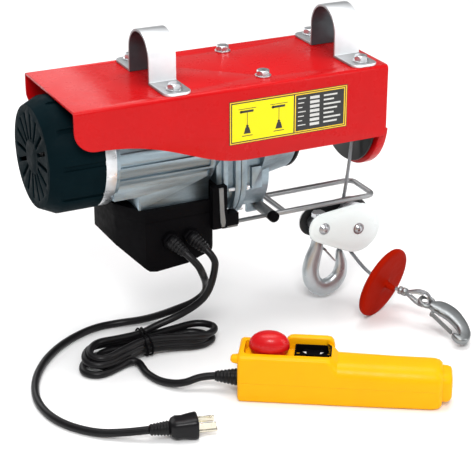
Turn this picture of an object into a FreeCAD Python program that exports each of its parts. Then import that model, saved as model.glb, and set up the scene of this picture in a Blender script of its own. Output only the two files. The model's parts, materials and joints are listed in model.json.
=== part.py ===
import FreeCAD, Part
import math
import os
from FreeCAD import Placement, Rotation, Vector

os.makedirs("parts", exist_ok=True)

# Mini electric wire-rope hoist, hung from a round beam by two strap clamps.
# Millimetres. Origin: on the beam's axis, half way between the clamps. +X runs along the beam
# towards the rope drum, +Y to the back, +Z up.

# ---- driving dimensions ----
COVER_LENGTH = 350.0
COVER_WIDTH = 144.0
COVER_X0 = -219.0
COVER_X1 = COVER_X0 + COVER_LENGTH
SHEET = 2.5                      # folded steel sheet
PLATE_TOP = -24.5                # top face of the cover, under the beam
PLATE_LOW = PLATE_TOP - SHEET
SIDE = COVER_WIDTH / 2
AXIS_Z = -90.0                   # motor and drum axis
FLOOR_Z = -304.5                 # surface that the loose leads and the handset lie on

BEAM_RADIUS = 24.2               # bore of the clamps, for a 48.3 mm tube
STRAP = 2.8
CLAMP_X = 106.5
CLAMP_WIDTH = 30.0
CLAMP_BOLT_Y = 56.0
GEAR_BOLT_X = -4.0
GEAR_BOLT_Y = 48.0

FAN_X0 = -239.5
FAN_X1 = -183.0
RING_X1 = -171.0
MOTOR_X1 = -62.0
MOTOR_RADIUS = 55.5
FAN_RADIUS = 60.5

CASE_X1 = -31.0
GEARCOVER_X0 = -30.2
GEARCOVER_X1 = 5.0
CONE_X1 = 34.0
COUNTER_Z = AXIS_Z - 45.0        # countershaft axis
CASE_RADIUS = 45.5
CASE_CAVITY = 42.5
RIM_RADIUS = 52.0

DRUM_X0 = 36.6
DRUM_X1 = 125.0
DRUM_CORE = 25.0
WINDING_RADIUS = 29.0            # centre line of the last rope layer
ROPE = 4.0                       # rope diameter
ROPE_Y = -WINDING_RADIUS         # the rope falls from the drum's front

BLOCK_X = 118.0                  # sheave axle in the hook block
BLOCK_Z = -219.5
SHEAVE_PITCH = 21.0
HOOK_X = 75.0                    # hook trunnion in the hook block
HOOK_Z = -212.0
PLATE_GAP = 10.5                 # half gap between the block's side plates

BAIL_X = 12.0                    # pivot of the limit bail
BAIL_Z = -185.5
BAIL_Y0 = -37.0
BAIL_Y1 = 13.0
BAIL_END = 140.5
BAIL_ROD = 2.9
PIVOT_RADIUS = 5.8

CORD_RADIUS = 4.0                # mains lead and handset lead
PLUG_TURN = -15.0                # plug's heading on the floor, degrees

HANDSET_ORIGIN = Vector(-106.0, -196.0, FLOOR_Z)
HANDSET_TURN = -31.7

DISC_CENTRE = Vector(121.1, -94.6, -264.5)   # red stop disc on the rope's tail
DISC_RADIUS = 41.0
DISC_WAY = Vector(0.434, -0.865, -0.250)
ROPE_END = Vector(132.0, -109.8, -269.0)
THIMBLE_WAY = Vector(0.60, -0.78, -0.17)
END_HOOK_WAY = Vector(0.170, -0.938, -0.302)

RUN = 0.05                       # radial clearance of a running fit


# ---- small helpers ----
def box(x0, x1, y0, y1, z0, z1):
    return Part.makeBox(x1 - x0, y1 - y0, z1 - z0, Vector(x0, y0, z0))


def rod(start, end, radius):
    way = end - start
    return Part.makeCylinder(radius, way.Length, start, way)


def taper(start, end, radius_start, radius_end):
    way = end - start
    return Part.makeCone(radius_start, radius_end, way.Length, start, way)


def cyl_x(x0, x1, radius, y=0.0, z=AXIS_Z):
    return rod(Vector(x0, y, z), Vector(x1, y, z), radius)


def cyl_y(y0, y1, radius, x, z):
    return rod(Vector(x, y0, z), Vector(x, y1, z), radius)


def cyl_z(z0, z1, radius, x, y):
    return rod(Vector(x, y, z0), Vector(x, y, z1), radius)


def tube_x(x0, x1, outer, inner, y=0.0, z=AXIS_Z):
    return cyl_x(x0, x1, outer, y, z).cut(cyl_x(x0 - 1, x1 + 1, inner, y, z))


def fuse(shapes):
    first = shapes[0]
    return first.multiFuse(shapes[1:]).removeSplitter()


def turned(shape, angle, centre=Vector(0, 0, AXIS_Z), axis=Vector(1, 0, 0)):
    copy = shape.copy()
    copy.rotate(centre, axis, angle)
    return copy


def hexagon(across_flats, height, x, y, z):
    radius = across_flats / math.sqrt(3)
    points = []
    for i in range(7):
        angle = math.radians(60 * i)
        points.append(Vector(x + radius * math.cos(angle), y + radius * math.sin(angle), z))
    return Part.Face(Part.makePolygon(points)).extrude(Vector(0, 0, height))


def rounded_rectangle(x0, x1, y0, y1, z0, z1, radius):
    block = box(x0, x1, y0, y1, z0, z1)
    upright = [e for e in block.Edges if abs(e.tangentAt(e.FirstParameter).z) > 0.99]
    return block.makeFillet(radius, upright)


def spline(points, closed=False):
    curve = Part.BSplineCurve()
    curve.interpolate([Vector(*p) for p in points], PeriodicFlag=closed)
    return curve.toShape()


def line(start, end):
    return Part.LineSegment(Vector(*start), Vector(*end)).toShape()


def arc(start, middle, end):
    return Part.Arc(Vector(*start), Vector(*middle), Vector(*end)).toShape()


def export(name, shape):
    shape.exportStep("parts/" + name + ".step")
    print(name, len(shape.Solids), round(shape.Volume / 1000.0, 2), shape.isValid())


# ---- cords: straight runs joined by tangent arcs ----
def tube(name, points, radius):
    points = [Vector(*p) for p in points]
    edges = []
    here = points[0]
    radii = []
    for i in range(1, len(points) - 1):
        into = points[i] - points[i - 1]
        away = points[i + 1] - points[i]
        half = into.getAngle(away) / 2
        reach = 0.45 * min(into.Length, away.Length)
        into.normalize()
        away.normalize()
        begin = points[i] - into * reach
        end = points[i] + away * reach
        bend = reach / math.tan(half)
        radii.append(round(bend))
        inward = (away - into).normalize()
        middle = points[i] + inward * (bend / math.cos(half) - bend)
        edges.append(Part.LineSegment(here, begin).toShape())
        edges.append(Part.Arc(begin, middle, end).toShape())
        here = end
    edges.append(Part.LineSegment(here, points[-1]).toShape())
    path = Part.Wire(edges)
    section = Part.Wire(Part.makeCircle(radius, points[0], points[1] - points[0]))
    solid = path.makePipeShell([section], True, False)
    expected = math.pi * radius * radius * path.Length
    print(name, "length", round(path.Length), "volume ratio", round(solid.Volume / expected, 4), "radii", radii)
    return solid


# ---- gears ----
def gear_x(x0, x1, module, teeth, tooth_angle, backlash=0.22, addendum=0.75):
    pitch = module * teeth / 2
    base = pitch * math.cos(math.radians(20))
    tip = pitch + addendum * module
    root = pitch - 1.15 * module

    def involute(radius):
        angle = math.acos(min(1.0, base / radius))
        return math.tan(angle) - angle

    def half_width(radius):
        at_pitch = math.pi / (2 * teeth) - backlash / (2 * pitch)
        return at_pitch + involute(pitch) - involute(max(radius, base))

    flank = [root, max(root, base), (max(root, base) + tip) / 2, tip]
    points = []
    for i in range(teeth):
        middle = math.radians(tooth_angle) + 2 * math.pi * i / teeth
        outline = [(r, -half_width(r)) for r in flank] + [(r, half_width(r)) for r in reversed(flank)]
        for radius, offset in outline:
            point = Vector(x0, radius * math.cos(middle + offset), radius * math.sin(middle + offset))
            if not points or (point - points[-1]).Length > 0.001:
                points.append(point)
    points.append(points[0])
    return Part.Face(Part.makePolygon(points)).extrude(Vector(x1 - x0, 0, 0))


# ---- cover, end bracket and beam clamps ----
def cover_outline():
    corner = 22.0
    shoulder = -45.5
    waist = shoulder - corner
    low = -103.0
    nose = 6.0
    x0 = COVER_X0
    x1 = COVER_X1
    bend = corner * math.sqrt(0.5)
    wave = Part.BezierCurve()
    wave.setPoles([Vector(x0 + corner, 0, waist), Vector(-115, 0, waist), Vector(-88, 0, low), Vector(-30, 0, low)])
    edges = [
        line((x0, 0, PLATE_TOP), (x0, 0, shoulder)),
        arc((x0, 0, shoulder), (x0 + corner - bend, 0, shoulder - bend), (x0 + corner, 0, waist)),
        wave.toShape(),
        line((-30, 0, low), (x1 - nose, 0, low)),
        arc((x1 - nose, 0, low), (x1 - 0.3 * nose, 0, low + 0.3 * nose), (x1, 0, low + nose)),
        line((x1, 0, low + nose), (x1, 0, PLATE_TOP)),
        line((x1, 0, PLATE_TOP), (x0, 0, PLATE_TOP)),
    ]
    face = Part.Face(Part.Wire(edges))
    face.translate(Vector(0, -SIDE, 0))
    return face.extrude(Vector(0, 2 * SIDE, 0))


def top_cover():
    outer = box(COVER_X0, COVER_X1, -SIDE, SIDE, -120, PLATE_TOP)
    top_edges = [e for e in outer.Edges if abs(e.tangentAt(e.FirstParameter).x) > 0.99 and e.CenterOfMass.z > -30]
    outer = outer.makeFillet(4.0, top_edges)
    room = SIDE - SHEET
    inner = box(COVER_X0 - 1, COVER_X1 + 1, -room, room, -121, PLATE_LOW)
    top_edges = [e for e in inner.Edges if abs(e.tangentAt(e.FirstParameter).x) > 0.99 and e.CenterOfMass.z > -30]
    inner = inner.makeFillet(1.5, top_edges)
    channel = outer.cut(inner).common(cover_outline())
    for x, y in bolt_places():
        channel = channel.cut(cyl_z(PLATE_LOW - 1, PLATE_TOP + 1, 4.5, x, y))
    return channel


def bolt_places():
    places = [(x, y) for x in (-CLAMP_X, CLAMP_X) for y in (-CLAMP_BOLT_Y, CLAMP_BOLT_Y)]
    return places + [(GEAR_BOLT_X, -GEAR_BOLT_Y), (GEAR_BOLT_X, GEAR_BOLT_Y)]


def drum_end_bracket():
    lobe = 65.0
    wall = 3.0
    x0 = COVER_X1 - wall
    width = SIDE - SHEET - 0.5
    plate = box(x0, COVER_X1, -width, width, -84, PLATE_LOW)
    disc = cyl_x(x0, COVER_X1, lobe)
    rim = tube_x(COVER_X1, COVER_X1 + 7, lobe, lobe - wall)
    rim = rim.common(box(COVER_X1, COVER_X1 + 8, -lobe, lobe, AXIS_Z - lobe - 1, -98))
    boss = cyl_x(x0 - 2, COVER_X1 + 5, 18)
    above = box(x0 - 1, COVER_X1 + 1, -80, 80, PLATE_LOW, 0)
    return fuse([plate, disc.cut(above), rim, boss]).cut(cyl_x(x0 - 5, COVER_X1 + 9, 13))


def beam_clamp(x):
    x0 = x - CLAMP_WIDTH / 2
    x1 = x + CLAMP_WIDTH / 2
    outer = BEAM_RADIUS + STRAP
    arch = fuse([cyl_x(x0, x1, outer, 0, 0), box(x0, x1, -outer, outer, PLATE_TOP, 0)])
    feet = rounded_rectangle(x0, x1, -69, 69, PLATE_TOP, PLATE_TOP + STRAP, 9)
    below = box(x0 - 1, x1 + 1, -30, 30, -40, PLATE_TOP)
    hollow = fuse([cyl_x(x0 - 1, x1 + 1, BEAM_RADIUS, 0, 0), box(x0 - 1, x1 + 1, -BEAM_RADIUS, BEAM_RADIUS, -40, 0)])
    strap = fuse([arch.cut(below), feet]).cut(hollow)
    for y in (-CLAMP_BOLT_Y, CLAMP_BOLT_Y):
        strap = strap.cut(cyl_z(PLATE_TOP - 1, PLATE_TOP + STRAP + 1, 4.3, x, y))
    return strap


def cover_bolts():
    bolts = []
    for i, (x, y) in enumerate(bolt_places()):
        clamped = i < 4
        seat = PLATE_TOP + (STRAP if clamped else 0.0)
        tip = PLATE_LOW - (9.0 if clamped else 16.0)
        washer = cyl_z(seat, seat + 1.6, 8.5, x, y)
        head = hexagon(13.0, 5.3, x, y, seat + 1.6)
        dome = Part.makeSphere(9.0, Vector(x, y, seat + 0.2)).common(head)
        pieces = [washer, dome, cyl_z(tip, seat + 2, 4.0, x, y)]
        if clamped:
            pieces.append(hexagon(13.0, 6.5, x, y, PLATE_LOW - 6.5))
        bolts.append(fuse(pieces))
    return Part.makeCompound(bolts)


def rating_label():
    return box(-54, 82, -SIDE - 0.4, -SIDE, -84.5, -38.5)


# ---- motor ----
def fan_cover():
    shoulder = FAN_X0 + 16
    shell = fuse([
        cyl_x(shoulder, FAN_X1, FAN_RADIUS),
        taper(Vector(FAN_X0, 0, AXIS_Z), Vector(shoulder, 0, AXIS_Z), 53.0, FAN_RADIUS),
    ])
    shell = shell.cut(cyl_x(FAN_X0 + 3, FAN_X1 + 1, 50.5))
    shell = shell.cut(cyl_x(FAN_X0 + 14, FAN_X1 + 1, FAN_RADIUS - 4))
    groove = box(FAN_X0 + 12, FAN_X1 + 1, -2.6, 2.6, AXIS_Z + FAN_RADIUS - 2, AXIS_Z + FAN_RADIUS + 2)
    slot = box(FAN_X0 - 1, FAN_X0 + 4, -2.2, 2.2, AXIS_Z + 18, AXIS_Z + 45)
    for i in range(10):
        shell = shell.cut(turned(groove, 36 * i + 14))
    for i in range(16):
        shell = shell.cut(turned(slot, 22.5 * i))
    return shell


def cooling_fan():
    hub = cyl_x(-230, -212, 14)
    disc = cyl_x(-214, -212, 48)
    blade = box(-229, -213, -1.2, 1.2, AXIS_Z + 10, AXIS_Z + 48)
    blades = [turned(blade, 45 * i + 8) for i in range(8)]
    return fuse([hub, disc] + blades).cut(cyl_x(-240, -205, 7.5))


def motor_end_ring():
    plate = cyl_x(FAN_X1, RING_X1, 60.0)
    plate = plate.cut(cyl_x(RING_X1 - 6, RING_X1 + 1, 50.2))
    plate = fuse([plate, cyl_x(FAN_X1, RING_X1 + 1, 23.0)])
    plate = plate.cut(cyl_x(FAN_X1 - 1, RING_X1 + 2, 17.5))
    window = cyl_x(FAN_X1 - 1, RING_X1, 7.0, 0, AXIS_Z + 36)
    for i in range(6):
        plate = plate.cut(turned(window, 60 * i + 30))
    return plate


def motor_housing():
    ribs = []
    for i in range(24):
        angle = 15 * i + 7.5
        if 110 < (angle + 90) % 360 < 250:
            continue
        rib = box(RING_X1, MOTOR_X1, -1.6, 1.6, AXIS_Z + MOTOR_RADIUS - 2, AXIS_Z + MOTOR_RADIUS + 2.3)
        ribs.append(turned(rib, angle - 90))
    ends = [cyl_x(RING_X1, RING_X1 + 4, 58.5), cyl_x(MOTOR_X1 - 5, MOTOR_X1, 57.8)]
    foot = box(-144, -66, -47, 47, -149, -118)
    shelf = box(RING_X1, -66, -47, 47, -134, -118)
    body = fuse([cyl_x(RING_X1, MOTOR_X1, MOTOR_RADIUS)] + ribs + ends + [foot, shelf])
    body = body.cut(box(RING_X1 - 1, MOTOR_X1 + 1, -60, 60, -160, -149))
    return body.cut(cyl_x(RING_X1 - 1, MOTOR_X1 + 1, 50.2))


def slot_angles():
    return [30.0 * i for i in range(12)]


def stator_core():
    core = tube_x(-150, -92, 50.1, 30.6)
    slot = box(-151, -91, -3.5, 3.5, AXIS_Z + 34, AXIS_Z + 44)
    for angle in slot_angles():
        core = core.cut(turned(slot, angle))
    return core


def stator_windings():
    bar = box(-152, -90, -3.2, 3.2, AXIS_Z + 34.3, AXIS_Z + 43.7)
    heads = [tube_x(-160, -150.3, 46, 33), tube_x(-91.7, -82, 46, 33)]
    return fuse(heads + [turned(bar, angle) for angle in slot_angles()])


def rotor_core():
    body = fuse([cyl_x(-150, -92, 30.0), cyl_x(-156, -86, 26.0)])
    return body.cut(cyl_x(-160, -80, 8.0))


def motor_shaft():
    pinion = gear_x(-61, -41, 1.0, 12, -90)
    pinion.translate(Vector(0, 0, AXIS_Z))
    return fuse([
        cyl_x(-233, -61, 7.5 - RUN),
        cyl_x(-156, -86, 8.0),
        pinion,
        cyl_x(-61, -38, 4.5),
    ])


def ball_bearings():
    bearings = [tube_x(-182, -171, 17.5, 7.5), tube_x(-73, -62, 17.5, 7.5), tube_x(127, 135, 13.0, 5.0)]
    grooved = []
    for ring in bearings:
        span = ring.BoundBox
        for x in (span.XMin, span.XMax):
            outer = 14.0 if span.ZLength > 30 else 10.4
            inner = 11.0 if span.ZLength > 30 else 7.6
            ring = ring.cut(tube_x(x - 0.8, x + 0.8, outer, inner))
        grooved.append(ring)
    return Part.makeCompound(grooved)


# ---- gearbox ----
def twin(x0, x1, radius):
    """Two equal discs, on the motor axis and on the countershaft axis, with their sides joined."""
    return fuse([
        cyl_x(x0, x1, radius),
        cyl_x(x0, x1, radius, 0, COUNTER_Z),
        box(x0, x1, -radius, radius, COUNTER_Z, AXIS_Z),
    ])


def screw_places():
    ring = 48.9
    places = []
    for degrees in (10, 50, 90, 130, 170):
        angle = math.radians(degrees)
        places.append((ring * math.cos(angle), AXIS_Z + ring * math.sin(angle)))
        places.append((ring * math.cos(angle), COUNTER_Z - ring * math.sin(angle)))
    return places


def gearbox_case():
    nose = taper(Vector(MOTOR_X1, 0, AXIS_Z), Vector(-48, 0, AXIS_Z), 56.0, 47.0)
    shell = fuse([
        nose,
        twin(-56, CASE_X1, CASE_RADIUS),
        twin(-50, -45, 50.0),
        twin(-37, CASE_X1, RIM_RADIUS),
        cyl_x(-76, -56, 23.0),
        cyl_x(-58.8, -56, 20.0, 0, COUNTER_Z),
    ])
    shell = shell.cut(twin(-54, CASE_X1 + 1, CASE_CAVITY))
    shell = shell.cut(cyl_x(-77, -62, 17.5)).cut(cyl_x(-63, -53, 10.0))
    shell = shell.cut(cyl_x(-58, -53, 9.0, 0, COUNTER_Z))
    for y, z in screw_places():
        shell = shell.cut(cyl_x(-46, CASE_X1 + 1, 2.1, y, z))
    return shell


def pivot_lugs():
    lugs = []
    for y0 in (-7.5, 17.5):
        lug = fuse([
            box(-2, BAIL_X, y0, y0 + 4, BAIL_Z - 6, BAIL_Z + 16),
            box(BAIL_X, BAIL_X + 6, y0, y0 + 4, BAIL_Z, BAIL_Z + 6),
            cyl_y(y0, y0 + 4, 6, BAIL_X, BAIL_Z),
        ])
        lugs.append(lug)
    return lugs


def gearbox_cover():
    ears = [box(-14, 6, y - 9, y + 9, -80, PLATE_LOW) for y in (-GEAR_BOLT_Y, GEAR_BOLT_Y)]
    bell = taper(Vector(-6, 0, AXIS_Z), Vector(CONE_X1, 0, AXIS_Z), 60.5, 54.0)
    pad = box(-17, -5, -49.5, -40, -146, -122)
    shell = fuse([
        twin(GEARCOVER_X0, -24, RIM_RADIUS),
        twin(-24, GEARCOVER_X1, CASE_RADIUS),
        bell,
        pad,
    ] + ears + pivot_lugs())
    shell = shell.cut(twin(GEARCOVER_X0 - 1, 2, CASE_CAVITY))
    shell = shell.cut(cyl_x(GEARCOVER_X1, CONE_X1 - 5, 49.0).cut(cyl_x(GEARCOVER_X1 - 1, CONE_X1, 22.0)))
    shell = fuse([shell, cyl_x(-2, 3, 14.0, 0, COUNTER_Z)])
    shell = shell.cut(cyl_x(-3, 3.5, 9.0, 0, COUNTER_Z)).cut(cyl_x(0, CONE_X1 + 1, 12.0 + RUN))
    for y, z in screw_places():
        shell = shell.cut(cyl_x(GEARCOVER_X0 - 1, -23, 2.1, y, z))
        shell = shell.cut(cyl_x(-24, -19, 3.6, y, z))
    for y in (-GEAR_BOLT_Y, GEAR_BOLT_Y):
        shell = shell.cut(cyl_z(PLATE_LOW - 20, PLATE_LOW + 1, 4.0, GEAR_BOLT_X, y))
    for y0 in (-8, 17):
        shell = shell.cut(cyl_y(y0, y0 + 5, 3.0, BAIL_X, BAIL_Z))
    return shell


def housing_screws():
    screws = []
    for y, z in screw_places():
        head = cyl_x(-24, -20.2, 3.4, y, z)
        socket = cyl_x(-22.2, -20, 1.7, y, z)
        screws.append(fuse([head, cyl_x(-44, -23, 2.0, y, z)]).cut(socket))
    return Part.makeCompound(screws)


def intermediate_gear():
    wheel = gear_x(-52, -43, 1.0, 78, 90 + 180.0 / 78)
    pinion = gear_x(-43.5, -3, 1.25, 12, 90)
    for piece in (wheel, pinion):
        piece.translate(Vector(0, 0, COUNTER_Z))
    return fuse([wheel, pinion, cyl_x(-57.8, 3.2, 5.5 - RUN, 0, COUNTER_Z)])


def intermediate_bushes():
    bushes = [tube_x(-58, -53.5, 9.0, 5.5, 0, COUNTER_Z), tube_x(-2.5, 3.5, 9.0, 5.5, 0, COUNTER_Z)]
    return Part.makeCompound(bushes)


def output_gear():
    wheel = gear_x(-22, -6, 1.25, 60, -90 + 180.0 / 60)
    wheel.translate(Vector(0, 0, AXIS_Z))
    for i in range(6):
        wheel = wheel.cut(turned(cyl_x(-23, -5, 6.5, 0, AXIS_Z + 25), 60 * i))
    return wheel.cut(cyl_x(-23, -5, 12.0))


# ---- drum ----
def drum_shaft():
    return fuse([cyl_x(-24, DRUM_X1, 12.0), cyl_x(DRUM_X1, 137, 5.0 - RUN)])


def rope_drum():
    left = cyl_x(DRUM_X0, DRUM_X0 + 3, 54.0)
    right = cyl_x(DRUM_X1 - 3, DRUM_X1, 61.0)
    core = cyl_x(DRUM_X0, DRUM_X1, DRUM_CORE)
    drum = fuse([left, right, core])
    drum = drum.cut(tube_x(DRUM_X0 + 8, DRUM_X1 - 8, 21.0, 16.0))
    return drum.cut(cyl_x(DRUM_X0 - 1, DRUM_X1 + 1, 12.0))


def rope_windings():
    x0 = DRUM_X0 + 3.4
    turns = 18
    radius = ROPE / 2
    base = AXIS_Z + DRUM_CORE
    crown = AXIS_Z + WINDING_RADIUS
    edges = []
    for i in range(turns):
        x = x0 + i * ROPE
        edges.append(arc((x, 0, crown), (x + radius, 0, crown + radius), (x + ROPE, 0, crown)))
    end = x0 + turns * ROPE
    last = DRUM_X1 - 3.4
    low = AXIS_Z + WINDING_RADIUS - radius - 0.5
    edges += [
        line((end, 0, crown), (end, 0, low)),
        line((end, 0, low), (last, 0, low)),
        line((last, 0, low), (last, 0, base)),
        line((last, 0, base), (x0, 0, base)),
        line((x0, 0, base), (x0, 0, crown)),
    ]
    face = Part.Face(Part.Wire(edges))
    return face.revolve(Vector(0, 0, AXIS_Z), Vector(1, 0, 0), 360)


# ---- control box ----
def box_side(inset, top):
    x0 = -159.0 + inset
    x1 = -60.5 - inset
    low = inset
    points = [
        (x0, top), (x1, top), (x1, -201 + low), (x1 - 3, -207 + low), (-92, -216.5 + low), (-127, -219.5 + low),
        (-135 + 0.4 * inset, -218 + low), (-141 + 0.6 * inset, -213 + low), (x0, -196 + 0.5 * low),
    ]
    outline = [Vector(x, 0, z) for x, z in points]
    face = Part.Face(Part.makePolygon(outline + [outline[0]]))
    depth = 50.0 - inset
    face.translate(Vector(0, -depth, 0))
    return face.extrude(Vector(0, 2 * depth, 0))


def box_plan(inset):
    return rounded_rectangle(-159 + inset, -60.5 - inset, -50 + inset, 50 - inset, -226, -150, 7.0 - inset)


def slant_corner(shape, inset):
    """Cuts the front left corner along a slanted wall."""
    along = Vector(-0.507, 0.862, 0) * 70
    inward = Vector(0.862, 0.507, 0)
    start = Vector(-139, -50, -240) + inward * inset
    outside = inward * -60
    corners = [start + along, start - along, start - along + outside, start + along + outside, start + along]
    wedge = Part.Face(Part.makePolygon(corners)).extrude(Vector(0, 0, 100))
    return shape.cut(wedge)


def control_box():
    top = -162.0
    outer = slant_corner(box_side(0, top).common(box_plan(0)), 0)
    inner = slant_corner(box_side(3.0, top + 1).common(box_plan(3.0)), 3.0)
    shell = outer.cut(inner)
    for x in (-112, -89):
        shell = shell.cut(cyl_y(-51, -46, 6.0, x, -186))
    return shell


def control_box_lid():
    lid = slant_corner(rounded_rectangle(-160.5, -59, -52, 52, -162, -149, 8.5), -1.6)
    lid = lid.cut(slant_corner(rounded_rectangle(-156, -63.5, -47, 47, -163, -153, 4.0), 4.0))
    collar = box(-61.8, -59, -52, -36, -150, -133)
    return fuse([lid, collar.cut(box(-70, -50, -60, 60, -170, -149))])


def run_capacitor():
    can = cyl_x(-141, -84, 17.0, 20, -170.2)
    terminals = [box(-84, -77, y - 3, y + 3, -171, -169.8) for y in (14, 26)]
    return fuse([can] + terminals)


def limit_switch():
    body = box(-52, -34, -53.2, -40, -182, -168.5)
    ear = box(-60.5, -51, -50, -42, -180, -170)
    housing = box(-67, -50.5, -60, -52.3, -180, -133)
    return fuse([body, ear, housing]).cut(cyl_z(-183, -175, 2.6, -43, -43.5))


def switch_plunger():
    return cyl_z(-184.2, -175.5, 2.3, -43, -43.5)


# ---- limit bail ----
def limit_bail():
    corner = 9.0
    x0 = BAIL_X + 4.0
    cut_back = corner * (1 - math.sqrt(0.5))
    edges = [
        line((x0, BAIL_Y0, BAIL_Z), (BAIL_END - corner, BAIL_Y0, BAIL_Z)),
        arc((BAIL_END - corner, BAIL_Y0, BAIL_Z), (BAIL_END - cut_back, BAIL_Y0 + cut_back, BAIL_Z),
            (BAIL_END, BAIL_Y0 + corner, BAIL_Z)),
        line((BAIL_END, BAIL_Y0 + corner, BAIL_Z), (BAIL_END, BAIL_Y1 - corner, BAIL_Z)),
        arc((BAIL_END, BAIL_Y1 - corner, BAIL_Z), (BAIL_END - cut_back, BAIL_Y1 - cut_back, BAIL_Z),
            (BAIL_END - corner, BAIL_Y1, BAIL_Z)),
        line((BAIL_END - corner, BAIL_Y1, BAIL_Z), (x0, BAIL_Y1, BAIL_Z)),
    ]
    path = Part.Wire(edges)
    section = Part.Wire(Part.makeCircle(BAIL_ROD, Vector(x0, BAIL_Y0, BAIL_Z), Vector(1, 0, 0)))
    loop = path.makePipeShell([section], True, False)
    cross = cyl_y(BAIL_Y0, BAIL_Y1, BAIL_ROD, 29.0, BAIL_Z)
    return fuse([loop, cross]).cut(cyl_y(-45, 20, PIVOT_RADIUS, BAIL_X, BAIL_Z))


def bail_pivot_block():
    front = cyl_y(-39.3, -8, PIVOT_RADIUS, BAIL_X, BAIL_Z)
    lever = fuse([
        box(-32, BAIL_X, -39.3, -34, BAIL_Z - 1.5, BAIL_Z + 1.0),
        box(-50, -32, -47, -34, BAIL_Z - 1.5, BAIL_Z + 1.0),
    ])
    rear = cyl_y(-3, 17, PIVOT_RADIUS, BAIL_X, BAIL_Z)
    bore = cyl_y(-42, 18, 3.0 + RUN, BAIL_X, BAIL_Z)
    return Part.makeCompound([fuse([front, lever]).cut(bore), rear.cut(bore)])


def bail_pivot_pin():
    return fuse([
        cyl_y(-43, 25, 3.0, BAIL_X, BAIL_Z),
        cyl_y(-46.5, -40.1, 6.0, BAIL_X, BAIL_Z),
        cyl_y(21.5, 26, 5.0, BAIL_X, BAIL_Z),
    ])


# ---- hook block ----
def rope_route():
    return [
        (117.5, ROPE_Y, AXIS_Z - 1.5), (109.0, ROPE_Y, -188.0), (93.6, ROPE_Y, -222.6), (111.9, ROPE_Y, -245.2),
        (115.5, -50.0, -256.5), (114.2, -74.0, -259.5), tuple(DISC_CENTRE), tuple(ROPE_END),
    ]


def block_outline(inset):
    """Egg-shaped side plate: a large disc at the sheave, a small one at the hook, tangents between."""
    big = 29.0 - inset
    small = 17.5 - inset
    way = Vector(HOOK_X - BLOCK_X, 0, HOOK_Z - BLOCK_Z)
    lean = math.atan2(way.z, way.x)
    spread = math.acos((big - small) / way.Length)
    a = []
    for sign in (1, -1):
        angle = lean + sign * spread
        a.append((BLOCK_X + big * math.cos(angle), BLOCK_Z + big * math.sin(angle),
                  HOOK_X + small * math.cos(angle), HOOK_Z + small * math.sin(angle)))
    far_big = (BLOCK_X - big * math.cos(lean), 0, BLOCK_Z - big * math.sin(lean))
    far_small = (HOOK_X + small * math.cos(lean), 0, HOOK_Z + small * math.sin(lean))
    return Part.Wire([
        line((a[0][0], 0, a[0][1]), (a[0][2], 0, a[0][3])),
        arc((a[0][2], 0, a[0][3]), far_small, (a[1][2], 0, a[1][3])),
        line((a[1][2], 0, a[1][3]), (a[1][0], 0, a[1][1])),
        arc((a[1][0], 0, a[1][1]), far_big, (a[0][0], 0, a[0][1])),
    ])


def block_plate(side):
    wall = 2.5
    face = Part.Face(block_outline(0))
    start = ROPE_Y + PLATE_GAP if side > 0 else ROPE_Y - PLATE_GAP - wall
    face.translate(Vector(0, start, 0))
    plate = face.extrude(Vector(0, wall, 0))
    plate = plate.cut(cyl_y(start - 1, start + wall + 1, 5.0, BLOCK_X, BLOCK_Z))
    return plate.cut(cyl_y(start - 1, start + wall + 1, 5.0 + RUN, HOOK_X, HOOK_Z))


def sheave():
    half = 6.0
    outer = 24.5
    groove = SHEAVE_PITCH - ROPE / 2 - 0.3
    low = ROPE_Y - half
    wheel = cyl_y(low, low + 2 * half, outer, BLOCK_X, BLOCK_Z)
    slope = 2.6
    trough = Part.makePolygon([
        Vector(BLOCK_X + groove, ROPE_Y - 2.5, BLOCK_Z), Vector(BLOCK_X + outer + 1, ROPE_Y - 2.5 - slope, BLOCK_Z),
        Vector(BLOCK_X + outer + 1, ROPE_Y + 2.5 + slope, BLOCK_Z), Vector(BLOCK_X + groove, ROPE_Y + 2.5, BLOCK_Z),
        Vector(BLOCK_X + groove, ROPE_Y - 2.5, BLOCK_Z),
    ])
    ring = Part.Face(trough).revolve(Vector(BLOCK_X, 0, BLOCK_Z), Vector(0, 1, 0), 360)
    wheel = wheel.cut(ring)
    return wheel.cut(cyl_y(low - 1, low + 2 * half + 1, 5.0 + RUN, BLOCK_X, BLOCK_Z))


def sheave_axle():
    reach = PLATE_GAP + 2.5
    heads = [cyl_y(ROPE_Y - reach - 2.5, ROPE_Y - reach, 6.5, BLOCK_X, BLOCK_Z),
             cyl_y(ROPE_Y + reach, ROPE_Y + reach + 2.5, 6.5, BLOCK_X, BLOCK_Z)]
    spacers = [cyl_y(ROPE_Y - PLATE_GAP, ROPE_Y - 6.4, 8.0, BLOCK_X, BLOCK_Z),
               cyl_y(ROPE_Y + 6.4, ROPE_Y + PLATE_GAP, 8.0, BLOCK_X, BLOCK_Z)]
    axle = cyl_y(ROPE_Y - reach, ROPE_Y + reach, 5.0, BLOCK_X, BLOCK_Z)
    return fuse([axle] + heads + spacers)


def hook_trunnion():
    reach = PLATE_GAP + 2.5
    pin = cyl_y(ROPE_Y - reach - 1.5, ROPE_Y + reach + 1.5, 5.0, HOOK_X, HOOK_Z)
    barrel = cyl_y(ROPE_Y - PLATE_GAP + 0.4, ROPE_Y + PLATE_GAP - 0.4, 8.5, HOOK_X, HOOK_Z)
    return fuse([pin, barrel]).cut(cyl_z(HOOK_Z - 20, HOOK_Z + 20, 5.0 + RUN, HOOK_X, ROPE_Y))


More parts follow.
